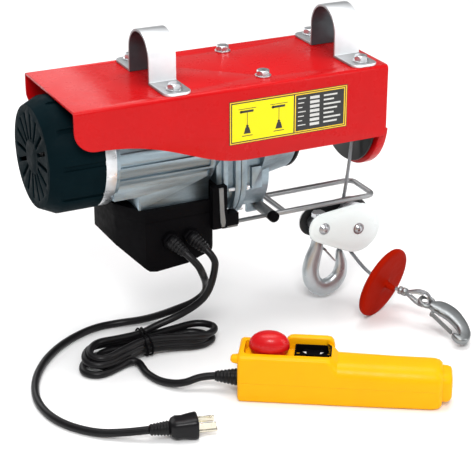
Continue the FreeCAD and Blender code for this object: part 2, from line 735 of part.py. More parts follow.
def main_hook():
    edges = [
        line((81, 0, -228), (69, 0, -228)),
        spline([(69, 0, -228), (66, 0, -238), (59.5, 0, -253), (57.5, 0, -270), (63, 0, -287), (76, 0, -297.6),
                (90, 0, -300.2), (104, 0, -293), (112, 0, -280), (112, 0, -265), (107.5, 0, -253)]),
        arc((107.5, 0, -253), (102.5, 0, -246), (97.5, 0, -252)),
        spline([(97.5, 0, -252), (98.6, 0, -262), (96, 0, -274), (87, 0, -281), (78.5, 0, -275), (76, 0, -263),
                (79, 0, -250), (81.5, 0, -240), (81, 0, -228)]),
    ]
    face = Part.Face(Part.Wire(edges))
    face.translate(Vector(0, ROPE_Y - 6, 0))
    body = face.extrude(Vector(0, 12, 0))
    shank = cyl_z(-229, HOOK_Z + 16, 5.0, HOOK_X, ROPE_Y)
    nut = cyl_z(HOOK_Z + 8.9, HOOK_Z + 15, 7.5, HOOK_X, ROPE_Y)
    collar = cyl_z(-229, HOOK_Z - 8.9, 7.0, HOOK_X, ROPE_Y)
    return fuse([body, shank, nut, collar])


def main_hook_latch():
    thick = 1.6
    pivot = Vector(83.2, 0, -243.5)
    tip = Vector(96.4, 0, -259.5)
    way = (tip - pivot).normalize()
    across = Vector(-way.z, 0, way.x) * (thick / 2)
    corners = [pivot + across, tip + across, tip - across, pivot - across, pivot + across]
    face = Part.Face(Part.makePolygon(corners))
    face.translate(Vector(0, ROPE_Y - 4, 0))
    blade = face.extrude(Vector(0, 8, 0))
    knuckle = cyl_y(ROPE_Y - 4, ROPE_Y + 4, 1.4, pivot.x, pivot.z)
    return fuse([blade, knuckle])


# ---- rope tail: stop disc, ferrule, thimble and end hook ----
def on_tail(shape, start, way):
    """Shape from a frame with x ahead along the tail, y to its side and z up."""
    ahead = Vector(way).normalize()
    side = Vector(0, 0, 1).cross(ahead).normalize()
    up = ahead.cross(side)
    matrix = FreeCAD.Matrix(ahead.x, side.x, up.x, start.x, ahead.y, side.y, up.y, start.y,
                            ahead.z, side.z, up.z, start.z, 0, 0, 0, 1)
    shape.Placement = Placement(matrix).multiply(shape.Placement)
    return shape


def eye_centre():
    return ROPE_END + Vector(THIMBLE_WAY).normalize() * 30


def stop_disc():
    normal = Vector(DISC_WAY).normalize()
    disc = Part.makeCylinder(DISC_RADIUS, 7.0, DISC_CENTRE - normal * 3.5, normal)
    disc = disc.makeFillet(2.6, [e for e in disc.Edges if len(e.Vertexes) == 1])
    hub = Part.makeCylinder(9.0, 12.0, DISC_CENTRE - normal * 6, normal)
    bore = Part.makeCylinder(ROPE / 2 + 1.0, 20.0, DISC_CENTRE - normal * 10, normal)
    return fuse([disc, hub]).cut(bore)


def rope_ferrule():
    return on_tail(Part.makeCylinder(4.5, 10.0, Vector(0, 0, 0), Vector(1, 0, 0)), ROPE_END, THIMBLE_WAY)


def rope_thimble():
    half = 2.6
    outer = Part.makeCylinder(9.0, 2 * half, Vector(27.5, half, 0), Vector(0, -1, 0))
    wedge = Part.Face(Part.makePolygon([
        Vector(10, half, -3), Vector(10, half, 3), Vector(23.5, half, 7.6), Vector(23.5, half, -7.6),
        Vector(10, half, -3),
    ])).extrude(Vector(0, -2 * half, 0))
    hole = Part.makeCylinder(6.0, 4 * half, Vector(27.5, 2 * half, 0), Vector(0, -1, 0))
    return on_tail(fuse([outer, wedge]).cut(hole), ROPE_END, THIMBLE_WAY)


def end_hook():
    """Snap hook lying flat, from a frame with its eye at the origin and its throat on the -y side."""
    half = 4.2
    eye = Part.makeTorus(7.8, 2.2, Vector(4.8, 0, 0), Vector(0, 0, 1))
    edges = [
        line((11, -4.5, 0), (11, 4.5, 0)),
        spline([(11, 4.5, 0), (15, 14, 0), (22, 20, 0), (32, 21.5, 0), (45, 19, 0), (57, 14, 0), (67, 7.5, 0),
                (73.5, -1, 0), (73, -8.5, 0), (66.5, -11.8, 0), (59.5, -10.8, 0)]),
        arc((59.5, -10.8, 0), (56.9, -8.2, 0), (59.5, -5.6, 0)),
        spline([(59.5, -5.6, 0), (62, -3.5, 0), (60.5, 0, 0), (52, 2.8, 0), (42, 4.2, 0), (32, 3.6, 0), (25.5, 0.6, 0),
                (22, -3.5, 0)]),
        line((22, -3.5, 0), (17, -8, 0)),
        line((17, -8, 0), (11, -4.5, 0)),
    ]
    face = Part.Face(Part.Wire(edges))
    face.translate(Vector(0, 0, -half))
    return on_tail(fuse([eye, face.extrude(Vector(0, 0, 2 * half))]), eye_centre(), END_HOOK_WAY)


def end_hook_latch():
    start = Vector(22.5, -8.3, 0)
    tip = Vector(55.0, -8.2, 0)
    way = tip - start
    blade = Part.makeBox(way.Length, 2.2, 4.4, Vector(0, -1.1, -2.2))
    blade.Placement = Placement(start, Rotation(Vector(0, 0, 1), math.degrees(math.atan2(way.y, way.x))))
    knuckle = Part.makeCylinder(2.2, 4.4, start - Vector(0, 0, 2.2))
    return on_tail(fuse([blade, knuckle]), eye_centre(), END_HOOK_WAY)


# ---- leads ----
def gland_axis():
    return Vector(0.5, -0.7, -0.5).normalize()


def gland(x):
    seat = Vector(x, -50, -186)
    nut = cyl_y(-56, -50, 8.5, x, -186)
    neck = cyl_y(-50, -46.5, 5.9, x, -186)
    boot = taper(seat + Vector(0, -6, 0), gland_tip(x), 7.4, 4.6)
    return fuse([nut, neck, boot])


def gland_tip(x):
    return Vector(x, -56, -186) + gland_axis() * 19


def mains_route():
    start = gland_tip(-112)
    low = FLOOR_Z + CORD_RADIUS
    return [
        tuple(start), (-94, -80, -205), (-86.5, -76, -220), (-74, -57, -241), (-71, -48, -257), (-82, -39, -270),
        (-95, -28, -279), (-110, -18, -287.5), (-127, -5, -296), (-150, 8, low), (-180, 9, low), (-219, -9, low),
        (-252, -39, low), (-276, -78, low), (-287, -120, low), (-281, -162, low), (-258, -195, low),
        (-232, -214, -297), tuple(plug_start()),
    ]


def handset_lead_route():
    start = gland_tip(-89)
    return [
        tuple(start), (-73, -78, -204), (-73, -76, -217), (-76.5, -76, -232), (-82, -74, -246), (-91, -69, -257),
        (-104, -64, -266), (-117, -60, -272.5), (-133, -57.5, -277.5), (-142, -57, -281),
    ]


def lower_lead_route():
    end = in_handset(Vector(-24, 22, 16))
    low = FLOOR_Z + CORD_RADIUS
    return [
        (-158, -76, -294), (-164, -86, low), (-166, -108, low), (-160.5, -132, low), (-145, -152, -297),
        tuple(end - handset_way() * 14 + Vector(0, 0, -1)), tuple(end),
    ]


def plug_start():
    return Vector(-212.0, -225.0, FLOOR_Z + 11.5)


def in_plug(shape):
    shape.Placement = Placement(plug_start(), Rotation(Vector(0, 0, 1), PLUG_TURN)).multiply(shape.Placement)
    return shape


def plug_body():
    relief = Part.makeCone(4.6, 6.5, 20.0, Vector(0, 0, 0), Vector(1, 0, 0))
    body = box(19, 46, -12, 12, -11.2, 11.2)
    body = body.makeFillet(5.0, [e for e in body.Edges if abs(e.tangentAt(e.FirstParameter).x) > 0.99])
    body = body.makeChamfer(3.5, [e for e in body.Edges if abs(e.CenterOfMass.x - 19) < 0.01])
    return in_plug(fuse([relief, body]))


def plug_prongs():
    prongs = [box(46, 63, y - 0.8, y + 0.8, -1, 5.4) for y in (-6.4, 6.4)]
    prongs.append(rod(Vector(46, 0, -6.0), Vector(65, 0, -6.0), 2.4))
    return Part.makeCompound([in_plug(prong) for prong in prongs])


def hank_outline():
    return [
        (-150, -38), (-125, -37), (-99, -41), (-83, -46), (-74, -57), (-73, -71), (-80, -85), (-97, -87), (-124, -83),
        (-148, -85), (-168, -93), (-190, -101), (-212, -99), (-222, -84), (-220, -62), (-206, -45), (-187, -37),
        (-169, -35),
    ]


def handset_lead_hank():
    low = FLOOR_Z + 1.2
    top = FLOOR_Z + 25.0
    face = Part.Face(Part.Wire(spline([(x, y, low) for x, y in hank_outline()], closed=True)))
    return face.extrude(Vector(0, 0, top - low))


def cord_tie():
    low = FLOOR_Z + 0.1
    outer = box(-152.5, -147.5, -88.5, -35.0, low, FLOOR_Z + 26.0)
    return outer.cut(handset_lead_hank())


# ---- handset ----
def handset_way():
    turn = math.radians(HANDSET_TURN)
    return Vector(math.cos(turn), math.sin(turn), 0)


def in_handset(point):
    place = Placement(HANDSET_ORIGIN, Rotation(Vector(0, 0, 1), HANDSET_TURN))
    return place.multVec(point)


def set_handset(shape):
    place = Placement(HANDSET_ORIGIN, Rotation(Vector(0, 0, 1), HANDSET_TURN))
    shape.Placement = place.multiply(shape.Placement)
    return shape


def long_rounded(u0, u1, v0, v1, w0, w1, top, bottom):
    block = box(u0, u1, v0, v1, w0, w1)
    upper = [e for e in block.Edges if abs(e.tangentAt(e.FirstParameter).x) > 0.99 and e.CenterOfMass.z > w1 - 1]
    block = block.makeFillet(top, upper)
    lower = [e for e in block.Edges if abs(e.tangentAt(e.FirstParameter).x) > 0.99 and e.CenterOfMass.z < w0 + 1]
    return block.makeFillet(bottom, lower)


def handset_form(inset):
    low = inset
    handle = long_rounded(88, 201 - inset, inset, 45 - inset, low, 46 - inset, 13 - inset, 3.2 - inset)
    head = long_rounded(inset, 94, inset, 46 - inset, low, 50 - inset, 3.2 - inset, 3.2 - inset)
    if inset > 0:
        return fuse([handle, head])
    guard = box(46, 92, 38, 46, 40, 55.5)
    guard = guard.makeFillet(3, [e for e in guard.Edges if abs(e.tangentAt(e.FirstParameter).y) > 0.99])
    nub = box(-7, 4, 2, 14, 40, 48)
    nub = nub.makeFillet(2.5, [e for e in nub.Edges if abs(e.tangentAt(e.FirstParameter).y) > 0.99])
    return fuse([handle, head, guard, nub])


def handset_pocket():
    pocket = box(6, 90, 9, 38, 41, 60)
    return pocket.makeFillet(6, [e for e in pocket.Edges if abs(e.tangentAt(e.FirstParameter).z) > 0.99])


def handset_shell():
    shell = handset_form(0).cut(handset_form(2.6))
    floor_plate = box(2, 92.5, 2, 44, 38.4, 41)
    shell = fuse([shell.cut(handset_pocket()), floor_plate])
    shell = shell.cut(cyl_z(30, 45, 12.3, 30, 23))
    shell = shell.cut(box(57.5, 89.5, 14.5, 31.5, 30, 45))
    return shell.cut(rod(Vector(-1, 22, 16), Vector(4, 22, 16), 7.0))


def handset_split():
    return 21.0


def handset_upper_shell():
    return set_handset(handset_shell().common(box(-20, 260, -20, 80, handset_split(), 90)))


def handset_lower_shell():
    return set_handset(handset_shell().common(box(-20, 260, -20, 80, -10, handset_split())))


def handset_end_cap():
    cap = long_rounded(201, 211, 5, 40, 6, 38, 8, 5)
    return set_handset(cap.cut(cyl_y(0, 50, 3.0, 206, 22)))


def handset_boot():
    boot = Part.makeCone(4.8, 8.6, 22.0, Vector(-24, 22, 16), Vector(1, 0, 0))
    neck = rod(Vector(-2, 22, 16), Vector(2.6, 22, 16), 7.0)
    return set_handset(fuse([boot, neck]))


def emergency_stop_button():
    stem = cyl_z(30, 50, 12.0, 0, 0)
    cap = Part.makeSphere(30.0, Vector(0, 0, 37)).common(cyl_z(46, 70, 20.3, 0, 0))
    matrix = FreeCAD.Matrix()
    matrix.scale(1.0, 0.66, 1.0)
    cap = cap.transformGeometry(matrix)
    button = fuse([stem, cap])
    button.translate(Vector(30, 23, 0))
    return set_handset(button)


def rocker_switch():
    body = cyl_y(15, 31, 17.5, 73.5, 31.0).common(box(59, 88, 14, 32, 35, 60))
    trough = cyl_y(14, 32, 30.0, 73.5, 75.5)
    pivot = cyl_y(13.5, 32.5, 1.2, 73.5, 36.9)
    return set_handset(fuse([body.cut(trough), pivot]))


def switch_contact_block():
    block = fuse([box(14, 62, 8, 38, 6, 24), box(60, 87, 12, 34, 6, 31)])
    return set_handset(block)


# ---- write every node ----
export("top_cover", top_cover())
export("drum_end_bracket", drum_end_bracket())
export("beam_clamp_left", beam_clamp(-CLAMP_X))
export("beam_clamp_right", beam_clamp(CLAMP_X))
export("cover_bolts", cover_bolts())
export("rating_label", rating_label())
export("fan_cover", fan_cover())
export("cooling_fan", cooling_fan())
export("motor_end_ring", motor_end_ring())
export("motor_housing", motor_housing())
export("stator_core", stator_core())
export("stator_windings", stator_windings())
export("rotor_core", rotor_core())
export("motor_shaft", motor_shaft())
export("ball_bearings", ball_bearings())
export("gearbox_case", gearbox_case())
export("gearbox_cover", gearbox_cover())
export("housing_screws", housing_screws())
export("intermediate_gear", intermediate_gear())
export("intermediate_bushes", intermediate_bushes())
export("output_gear", output_gear())
export("drum_shaft", drum_shaft())
export("rope_drum", rope_drum())
export("rope_windings", rope_windings())
export("control_box", control_box())
export("control_box_lid", control_box_lid())
export("run_capacitor", run_capacitor())
export("limit_switch", limit_switch())
export("switch_plunger", switch_plunger())
export("limit_bail", limit_bail())
export("bail_pivot_block", bail_pivot_block())
export("bail_pivot_pin", bail_pivot_pin())
export("wire_rope", tube("wire_rope", rope_route(), ROPE / 2))
export("block_plate_front", block_plate(-1))
export("block_plate_back", block_plate(1))
export("sheave", sheave())
export("sheave_axle", sheave_axle())
export("hook_trunnion", hook_trunnion())
export("main_hook", main_hook())
export("main_hook_latch", main_hook_latch())
export("stop_disc", stop_disc())
export("rope_ferrule", rope_ferrule())
export("rope_thimble", rope_thimble())
export("end_hook", end_hook())
export("end_hook_latch", end_hook_latch())
export("mains_gland", gland(-112))
export("handset_gland", gland(-89))
export("mains_lead", tube("mains_lead", mains_route(), CORD_RADIUS))
export("plug_body", plug_body())
export("plug_prongs", plug_prongs())
export("handset_lead", Part.makeCompound([
    tube("handset_lead upper", handset_lead_route(), CORD_RADIUS),
    tube("handset_lead lower", lower_lead_route(), CORD_RADIUS),
]))
export("handset_lead_hank", handset_lead_hank())
export("cord_tie", cord_tie())
export("handset_upper_shell", handset_upper_shell())
export("handset_lower_shell", handset_lower_shell())
export("handset_end_cap", handset_end_cap())
export("handset_boot", handset_boot())
export("emergency_stop_button", emergency_stop_button())
export("rocker_switch", rocker_switch())
export("switch_contact_block", switch_contact_block())
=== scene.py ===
import json
import math

import bmesh
import bpy
from mathutils import Matrix, Vector


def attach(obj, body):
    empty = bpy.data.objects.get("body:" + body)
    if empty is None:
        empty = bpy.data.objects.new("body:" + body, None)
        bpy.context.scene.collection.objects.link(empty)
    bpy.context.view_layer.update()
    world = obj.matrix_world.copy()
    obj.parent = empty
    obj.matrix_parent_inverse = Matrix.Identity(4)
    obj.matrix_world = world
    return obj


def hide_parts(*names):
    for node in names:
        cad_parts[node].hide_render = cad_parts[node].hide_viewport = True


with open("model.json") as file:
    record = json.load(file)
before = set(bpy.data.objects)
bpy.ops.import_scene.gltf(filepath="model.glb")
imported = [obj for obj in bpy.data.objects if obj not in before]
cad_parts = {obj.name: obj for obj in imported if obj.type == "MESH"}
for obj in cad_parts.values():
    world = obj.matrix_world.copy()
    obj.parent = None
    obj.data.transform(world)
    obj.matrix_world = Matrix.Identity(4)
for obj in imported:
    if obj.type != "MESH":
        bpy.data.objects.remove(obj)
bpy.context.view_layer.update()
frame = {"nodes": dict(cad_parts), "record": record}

nodes = frame["nodes"]
MM = 0.001

# ---- places taken over from the design, in millimetres ----
AXIS_Z = -90.0  # motor, gearbox and drum
FLOOR_Z = -304.5
FLANGE_Y = -72.4  # outer face of the cover's front flange
BLOCK_Y = -29.0  # middle plane of the hook block and of the falling rope
SHEAVE = (118.0, -219.5)  # x and z of its axle
HOOK_PIN = (75.0, -212.0)  # x and z of the hook's trunnion
GLAND_Y, GLAND_Z = -50, -186  # the glands' seats on the control box
CORD = 4.0  # radius of the leads
ROPE = 2.0  # radius of the wire rope
ROPE_LAY = 0.026  # metres for one turn of a strand
DRUM_ROPE = 29.0  # radius of the rope layer's middle on the drum
DISC_CENTRE = (121.1, -94.6, -264.5)
DISC_WAY = (0.434, -0.865, -0.250)
ROPE_END = (132.0, -109.8, -269.0)
THIMBLE_WAY = (0.60, -0.78, -0.17)
END_HOOK_WAY = (0.170, -0.938, -0.302)
HANDSET_ORIGIN = (-106.0, -196.0, FLOOR_Z)
HANDSET_TURN = math.radians(-31.7)
PLUG_START = (-212.0, -225.0, FLOOR_Z + 11.5)
PLUG_TURN = math.radians(-15.0)
CORD_END = (-24, 22, 16)  # on the handset, where the lead goes into its boot
BUTTON = (30, 23)  # on the handset, the middle of the stop button
ROCKER = (73.5, 75.5, 30.0)  # the rocker's hollow top: middle, height of its centre, radius
TIE_AT = (-150.0, -60.0)  # middle of the folded handset lead, x and y
CAMERA = (-693.0, -1398.6, 465.0)
LOOK_AT = (-45.9, -72, -172.8)
LENS = 117.97


def mm(x, y, z):
    return Vector((x, y, z)) * MM


def placed(name, data):
    """A new object in the scene."""
    thing = bpy.data.objects.new(name, data)
    bpy.context.scene.collection.objects.link(thing)
    return thing


# ---- camera ----
def make_camera():
    data = bpy.data.cameras.new("camera")
    data.lens = LENS
    data.sensor_width = 36.0
    camera = placed("camera", data)
    camera.location = mm(*CAMERA)
    ahead = mm(*LOOK_AT) - camera.location
    camera.rotation_euler = ahead.to_track_quat("-Z", "Y").to_euler()
    data.clip_end = 30
    bpy.context.scene.camera = camera


make_camera()


# ---- materials ----
class Nodes:
    """A material's node tree, with short calls for the nodes that most materials share."""

    def __init__(self, name):
        self.material = bpy.data.materials.new(name)
        self.material.use_nodes = True
        self.tree = self.material.node_tree
        self.shader = self.tree.nodes["Principled BSDF"]
        self.where = self.add("ShaderNodeTexCoord").outputs["Object"]

    def add(self, kind, **values):
        node = self.tree.nodes.new(kind)
        for key, value in values.items():
            setattr(node, key, value)
        return node

    def link(self, output, socket):
        self.tree.links.new(output, socket)

    def stretch(self, scale):
        mapping = self.add("ShaderNodeMapping")
        mapping.inputs["Scale"].default_value = scale
        self.link(self.where, mapping.inputs["Vector"])
        return mapping.outputs["Vector"]

    def grain(self, scale, detail=4.0, rough=0.55, vector=None, distortion=0.0):
        node = self.add("ShaderNodeTexNoise")
        node.inputs["Scale"].default_value = scale
        node.inputs["Detail"].default_value = detail
        node.inputs["Roughness"].default_value = rough
        node.inputs["Distortion"].default_value = distortion
        self.link(vector or self.where, node.inputs["Vector"])
        return node.outputs["Fac"]

    def ramp(self, value, stops):
        node = self.add("ShaderNodeValToRGB")
        elements = node.color_ramp.elements
        while len(elements) < len(stops):
            elements.new(0.5)
        for element, (position, colour) in zip(elements, stops):
            element.position = position
            element.color = (*colour, 1.0)
        self.link(value, node.inputs["Fac"])
        return node.outputs["Color"]

    def spread(self, value, low, high, start=0.3, end=0.7):
        node = self.add("ShaderNodeMapRange")
        for name, number in zip(("From Min", "From Max", "To Min", "To Max"),
                                (start, end, low, high)):
            node.inputs[name].default_value = number
        self.link(value, node.inputs["Value"])
        return node.outputs["Result"]

    def mix(self, amount, first, second):
        node = self.add("ShaderNodeMix", data_type="RGBA")
        self.link(amount, node.inputs["Factor"])
        for socket, value in ((node.inputs[6], first), (node.inputs[7], second)):
            if isinstance(value, tuple):
                socket.default_value = (*value, 1.0)
            else:
                self.link(value, socket)
        return node.outputs[2]

    def vectors(self, operation, first, second=None):
        """Vector arithmetic. An input is a socket, or a tuple for a fixed vector."""
        node = self.add("ShaderNodeVectorMath", operation=operation)
        for socket, value in zip(node.inputs, (first, second)):
            if isinstance(value, tuple):
                socket.default_value = value
            elif value is not None:
                self.link(value, socket)
        return node.outputs["Value" if operation == "DOT_PRODUCT" else "Vector"]

    def bump(self, height, strength, distance=0.0004):
        node = self.add("ShaderNodeBump")
        node.inputs["Strength"].default_value = strength
        node.inputs["Distance"].default_value = distance
        self.link(height, node.inputs["Height"])
        previous = self.shader.inputs["Normal"]
        if previous.is_linked:
            self.link(previous.links[0].from_socket, node.inputs["Normal"])
        self.link(node.outputs["Normal"], self.shader.inputs["Normal"])

    def colour(self, output):
        self.link(output, self.shader.inputs["Base Color"])

    def roughness(self, output):
        self.link(output, self.shader.inputs["Roughness"])

    def fixed(self, **values):
        names = {"metallic": "Metallic", "coat": "Coat Weight", "coat_rough": "Coat Roughness",
                 "specular": "Specular IOR Level", "sheen": "Sheen Weight"}
        for key, value in values.items():
            self.shader.inputs[names[key]].default_value = value
        return self


def near(colour, factor):
    return tuple(min(1.0, c * factor) for c in colour)


def paint(name, colour, wear=(0.30, 0.29, 0.28), gloss=0.26, coat=0.15, specular=0.3):
    n = Nodes(name).fixed(coat=coat, coat_rough=0.2, specular=specular)
    broad = n.grain(9, 2)
    base = n.ramp(broad, [(0.3, near(colour, 0.94)), (0.7, near(colour, 1.05))])
    edge = n.add("ShaderNodeNewGeometry").outputs["Pointiness"]
    worn = n.add("ShaderNodeMath", operation="MULTIPLY")
    n.link(n.spread(edge, 0.0, 0.5, 0.56, 0.64), worn.inputs[0])
    n.link(n.spread(n.grain(120, 6, 0.7), 0.0, 1.0, 0.58, 0.72), worn.inputs[1])
    n.colour(n.mix(worn.outputs[0], base, wear))
    n.roughness(n.spread(n.grain(60, 5), gloss - 0.04, gloss + 0.06))
    n.bump(n.grain(900, 2), 0.04)
    n.bump(n.grain(35, 2), 0.02, 0.001)
    return n.material


def bare_metal(name, colour, rough=0.3, brushed=(1, 1, 1), scale=260, depth=0.08, spots=0.85,
               metallic=1.0):
    n = Nodes(name).fixed(metallic=metallic, specular=0.5)
    lines = n.grain(scale, 5, 0.6, n.stretch(brushed))
    stain = n.grain(22, 5, 0.65)
    tone = n.ramp(stain, [(0.32, near(colour, spots)), (0.68, near(colour, 1.05))])
    n.colour(n.mix(n.spread(lines, 0.0, 0.35), tone, near(colour, 0.78)))
    n.roughness(n.spread(lines, rough - 0.08, rough + 0.12))
    n.bump(lines, depth)
    return n.material


def casting(name, colour, rough=0.42, drawn_out=(1, 1, 1)):
    n = Nodes(name).fixed(metallic=1.0, specular=0.5)
    sand = n.grain(700, 3, 0.7)
    flow = n.grain(30, 5, 0.6, n.stretch(drawn_out), 0.6)
    n.colour(n.ramp(flow, [(0.3, near(colour, 0.62)), (0.7, near(colour, 1.08))]))
    n.roughness(n.spread(sand, rough - 0.1, rough + 0.16))
    n.bump(sand, 0.22, 0.0003)
    n.bump(flow, 0.12, 0.0012)
    return n.material


def moulded(name, colour, rough=0.4, coat=0.0, texture=0.12, grain=520, spread=0.14,
            specular=0.35):
    n = Nodes(name).fixed(coat=coat, coat_rough=0.15, specular=specular)
    cloud = n.grain(18, 4)
    n.colour(n.ramp(cloud, [(0.3, near(colour, 1 - spread)), (0.7, near(colour, 1 + spread / 2))]))
    n.roughness(n.spread(n.grain(140, 5), rough - 0.07, rough + 0.12))
    n.bump(n.grain(grain, 3, 0.6), texture, 0.0003)
    n.bump(n.grain(40, 2), 0.05, 0.001)
    return n.material


def with_painted_shade(name, outside, shade_colour, facing=None, centre=None, metallic=0.0, rough=0.4):
    """Colour with painted shade: dark where the surface looks along `facing`, or in towards an
    x-axis through `centre`.
    """
    n = Nodes(name).fixed(metallic=metallic, specular=0.4)
    surface = n.add("ShaderNodeNewGeometry").outputs
    low, high = 0.35, 0.6
    if centre:
        away = n.vectors("SUBTRACT", surface["Position"], centre)
        facing = n.vectors("NORMALIZE", n.vectors("MULTIPLY", away, (0, -1, -1)))
        low, high = 0.15, 0.4
    toward = n.vectors("DOT_PRODUCT", surface["Normal"], facing)
    stain = n.grain(26, 5, 0.6)
    fair = n.ramp(stain, [(0.3, near(outside, 0.93)), (0.7, near(outside, 1.04))])
    if centre:  # painted shade: the top of the bow is darker than its flat sides
        upright = n.add("ShaderNodeMath", operation="ABSOLUTE")
        n.link(n.vectors("DOT_PRODUCT", surface["Normal"], (0, -1, 0)), upright.inputs[0])
        painted_top_shade = n.ramp(stain, [(0.3, near(outside, 0.24)), (0.7, near(outside, 0.34))])
        fair = n.mix(n.spread(upright.outputs[0], 0.0, 1.0, 0.0, 0.8), painted_top_shade, fair)
    # painted shade: the dark colour where the surface looks along facing or in towards the axis
    painted_shade = n.ramp(stain, [(0.3, near(shade_colour, 0.75)), (0.7, near(shade_colour, 1.2))])
    n.colour(n.mix(n.spread(toward, 0.0, 1.0, low, high), fair, painted_shade))
    n.roughness(n.spread(n.grain(90, 5), rough - 0.06, rough + 0.1))
    n.bump(n.grain(260, 4), 0.04)
    return n.material


def rubber(name, colour):
    n = Nodes(name).fixed(specular=0.22, sheen=0.01)
    dust = n.grain(75, 6, 0.7)
    n.colour(n.ramp(dust, [(0.35, colour), (0.75, near(colour, 1.6))]))
    n.roughness(n.spread(n.grain(160, 4), 0.3, 0.42))
    n.bump(n.grain(1400, 2), 0.1, 0.0002)
    return n.material


def lined(name, colour, form, scale, distortion, dark, rough, depth, **fixed):
    """Metal with even lines: a stack of sheets or a winding."""
    n = Nodes(name).fixed(**fixed)
    wave = n.add("ShaderNodeTexWave", **form)
    wave.inputs["Scale"].default_value = scale
    wave.inputs["Distortion"].default_value = distortion
    n.link(n.where, wave.inputs["Vector"])
    n.colour(n.mix(wave.outputs["Fac"], near(colour, dark), colour))
    n.roughness(n.spread(n.grain(200, 4), *rough))
    n.bump(wave.outputs["Fac"], depth, depth * MM)
    return n.material


def printed(name, colour, rough, coat, spread, specular=0.35):
    """Ink on the rating label."""
    return moulded(name, colour, rough, coat, 0.04, 300, spread, specular)


CLAMP_AXIS = (0, 0, -0.0258)  # in metres
TURNED = (8, 1, 1)  # fine marks round a bar that lies along x
RED = paint("red_paint", (0.52, 0.0030, 0.0045), gloss=0.28, coat=0.05, specular=0.14)
WHITE = paint("white_paint", (0.80, 0.86, 0.86), (0.35, 0.35, 0.36), gloss=0.3, coat=0.1)
BLACK_PAINT = paint("black_paint", (0.006, 0.006, 0.007), (0.12, 0.12, 0.12), gloss=0.35,
                    coat=0.0, specular=0.25)
# zinc straps with painted shade inside the bow and on the top of the bow; the flat sides keep the
# bright zinc
CLAMP_ZINC_SHADED = with_painted_shade("clamp_zinc_painted_shade", (0.86, 0.88, 0.90), (0.055, 0.065, 0.072),
                       centre=CLAMP_AXIS, metallic=0.35, rough=0.36)
# white paint, with painted shade on the plate's inner face, which looks towards the front (-y)
BACK_PLATE_SHADED = with_painted_shade("back_plate_paint_and_painted_shade", (0.86, 0.86, 0.87), (0.020, 0.021, 0.022),
                             facing=(0, -1, 0))
BAIL_STEEL = bare_metal("bail_steel", (0.36, 0.365, 0.37), rough=0.36, brushed=TURNED,
                        scale=160, depth=0.06, spots=0.8, metallic=0.85)
END_STEEL = bare_metal("snap_hook_steel", (0.30, 0.315, 0.32), rough=0.34, scale=90, spots=0.6,
                       metallic=0.85)
DULL_STEEL = bare_metal("dull_steel", (0.20, 0.205, 0.205), rough=0.42, scale=200, spots=0.8,
                        metallic=0.6)
ZINC = bare_metal("zinc_plate", (0.74, 0.76, 0.78), brushed=(1, 3, 3), scale=60, depth=0.03,
                  spots=0.92)
STEEL = bare_metal("machined_steel", (0.50, 0.50, 0.52), brushed=TURNED, scale=160, depth=0.1)
CHROME = bare_metal("chrome_plate", (0.56, 0.60, 0.62), rough=0.33, scale=60, depth=0.03,
                    spots=0.8, metallic=0.8)
ROPE_STEEL = bare_metal("rope_wire", (0.36, 0.37, 0.39), rough=0.36, scale=900, depth=0.25,
                        spots=0.7)
BRONZE = bare_metal("sintered_bronze", (0.62, 0.40, 0.17), rough=0.42, scale=700, depth=0.2)
BRASS = bare_metal("plated_prong", (0.78, 0.74, 0.62), rough=0.2, brushed=TURNED, scale=160,
                   depth=0.06)
CAST = casting("cast_aluminium", (0.33, 0.41, 0.46), rough=0.40)
MOTOR = casting("motor_aluminium", (0.33, 0.41, 0.46), rough=0.36, drawn_out=(0.25, 3, 3))
LAMINATION = lined("lamination_steel", (0.36, 0.36, 0.38),
                   {"wave_type": "BANDS", "bands_direction": "X"}, 320, 0.4, 0.6, (0.35, 0.6), 0.3,
                   metallic=1.0)
COPPER = lined("copper_winding", (0.60, 0.24, 0.08),
               {"wave_type": "RINGS", "rings_direction": "X"}, 260, 2.5, 0.45, (0.3, 0.5), 0.5,
               metallic=0.6, coat=0.5, coat_rough=0.2)
DARK_RED = moulded("red_disc_plastic", (0.32, 0.008, 0.0012), rough=0.5, texture=0.05,
                   specular=0.01)
STOP_RED = moulded("stop_button_plastic", (0.56, 0.003, 0.006), rough=0.34, coat=0.15,
                   texture=0.03, specular=0.25)
BLACK = moulded("black_plastic", (0.0030, 0.0028, 0.0034), rough=0.50, texture=0.2, grain=700,
                spread=0.3, specular=0.03)
FAN_BLACK = moulded("fan_cover_plastic", (0.0026, 0.0090, 0.0118), rough=0.50, texture=0.06,
                    grain=500, spread=0.3, specular=0.015)
GREY = moulded("grey_plastic", (0.20, 0.21, 0.22), rough=0.45, texture=0.15)
YELLOW = moulded("yellow_plastic", (0.88, 0.41, 0.0004), rough=0.36, coat=0.03, texture=0.05,
                 grain=420, spread=0.05, specular=0.12)
CORD_RUBBER = rubber("cord_rubber", (0.0035, 0.0032, 0.0038))
LABEL_YELLOW = printed("label_yellow", (0.84, 0.72, 0.004), 0.34, 0.1, 0.04, 0.2)
LABEL_BLACK = printed("label_black", (0.012, 0.012, 0.012), 0.32, 0.3, 0.2)
LABEL_ORANGE = printed("label_orange", (0.85, 0.55, 0.01), 0.3, 0.3, 0.08)
LABEL_WHITE = printed("label_white", (0.62, 0.62, 0.60), 0.35, 0.2, 0.1)


# ---- building helpers ----
def piece(name, mesh, body, slot, material, replaces=()):
    thing = placed(name, mesh)
    mesh.materials.clear()
    mesh.materials.append(material)
    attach(thing, body)
    if replaces:
        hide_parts(*replaces)
    return thing


def to_mesh(name, work, smooth=True):
    mesh = bpy.data.meshes.new(name)
    bmesh.ops.recalc_face_normals(work, faces=work.faces)
    work.to_mesh(mesh)
    work.free()
    if smooth:
        mesh.shade_smooth()
    return mesh


def shaped(name, work, body, slot, material, replaces=(), smooth=True):
    return piece(name, to_mesh(name, work, smooth), body, slot, material, replaces)


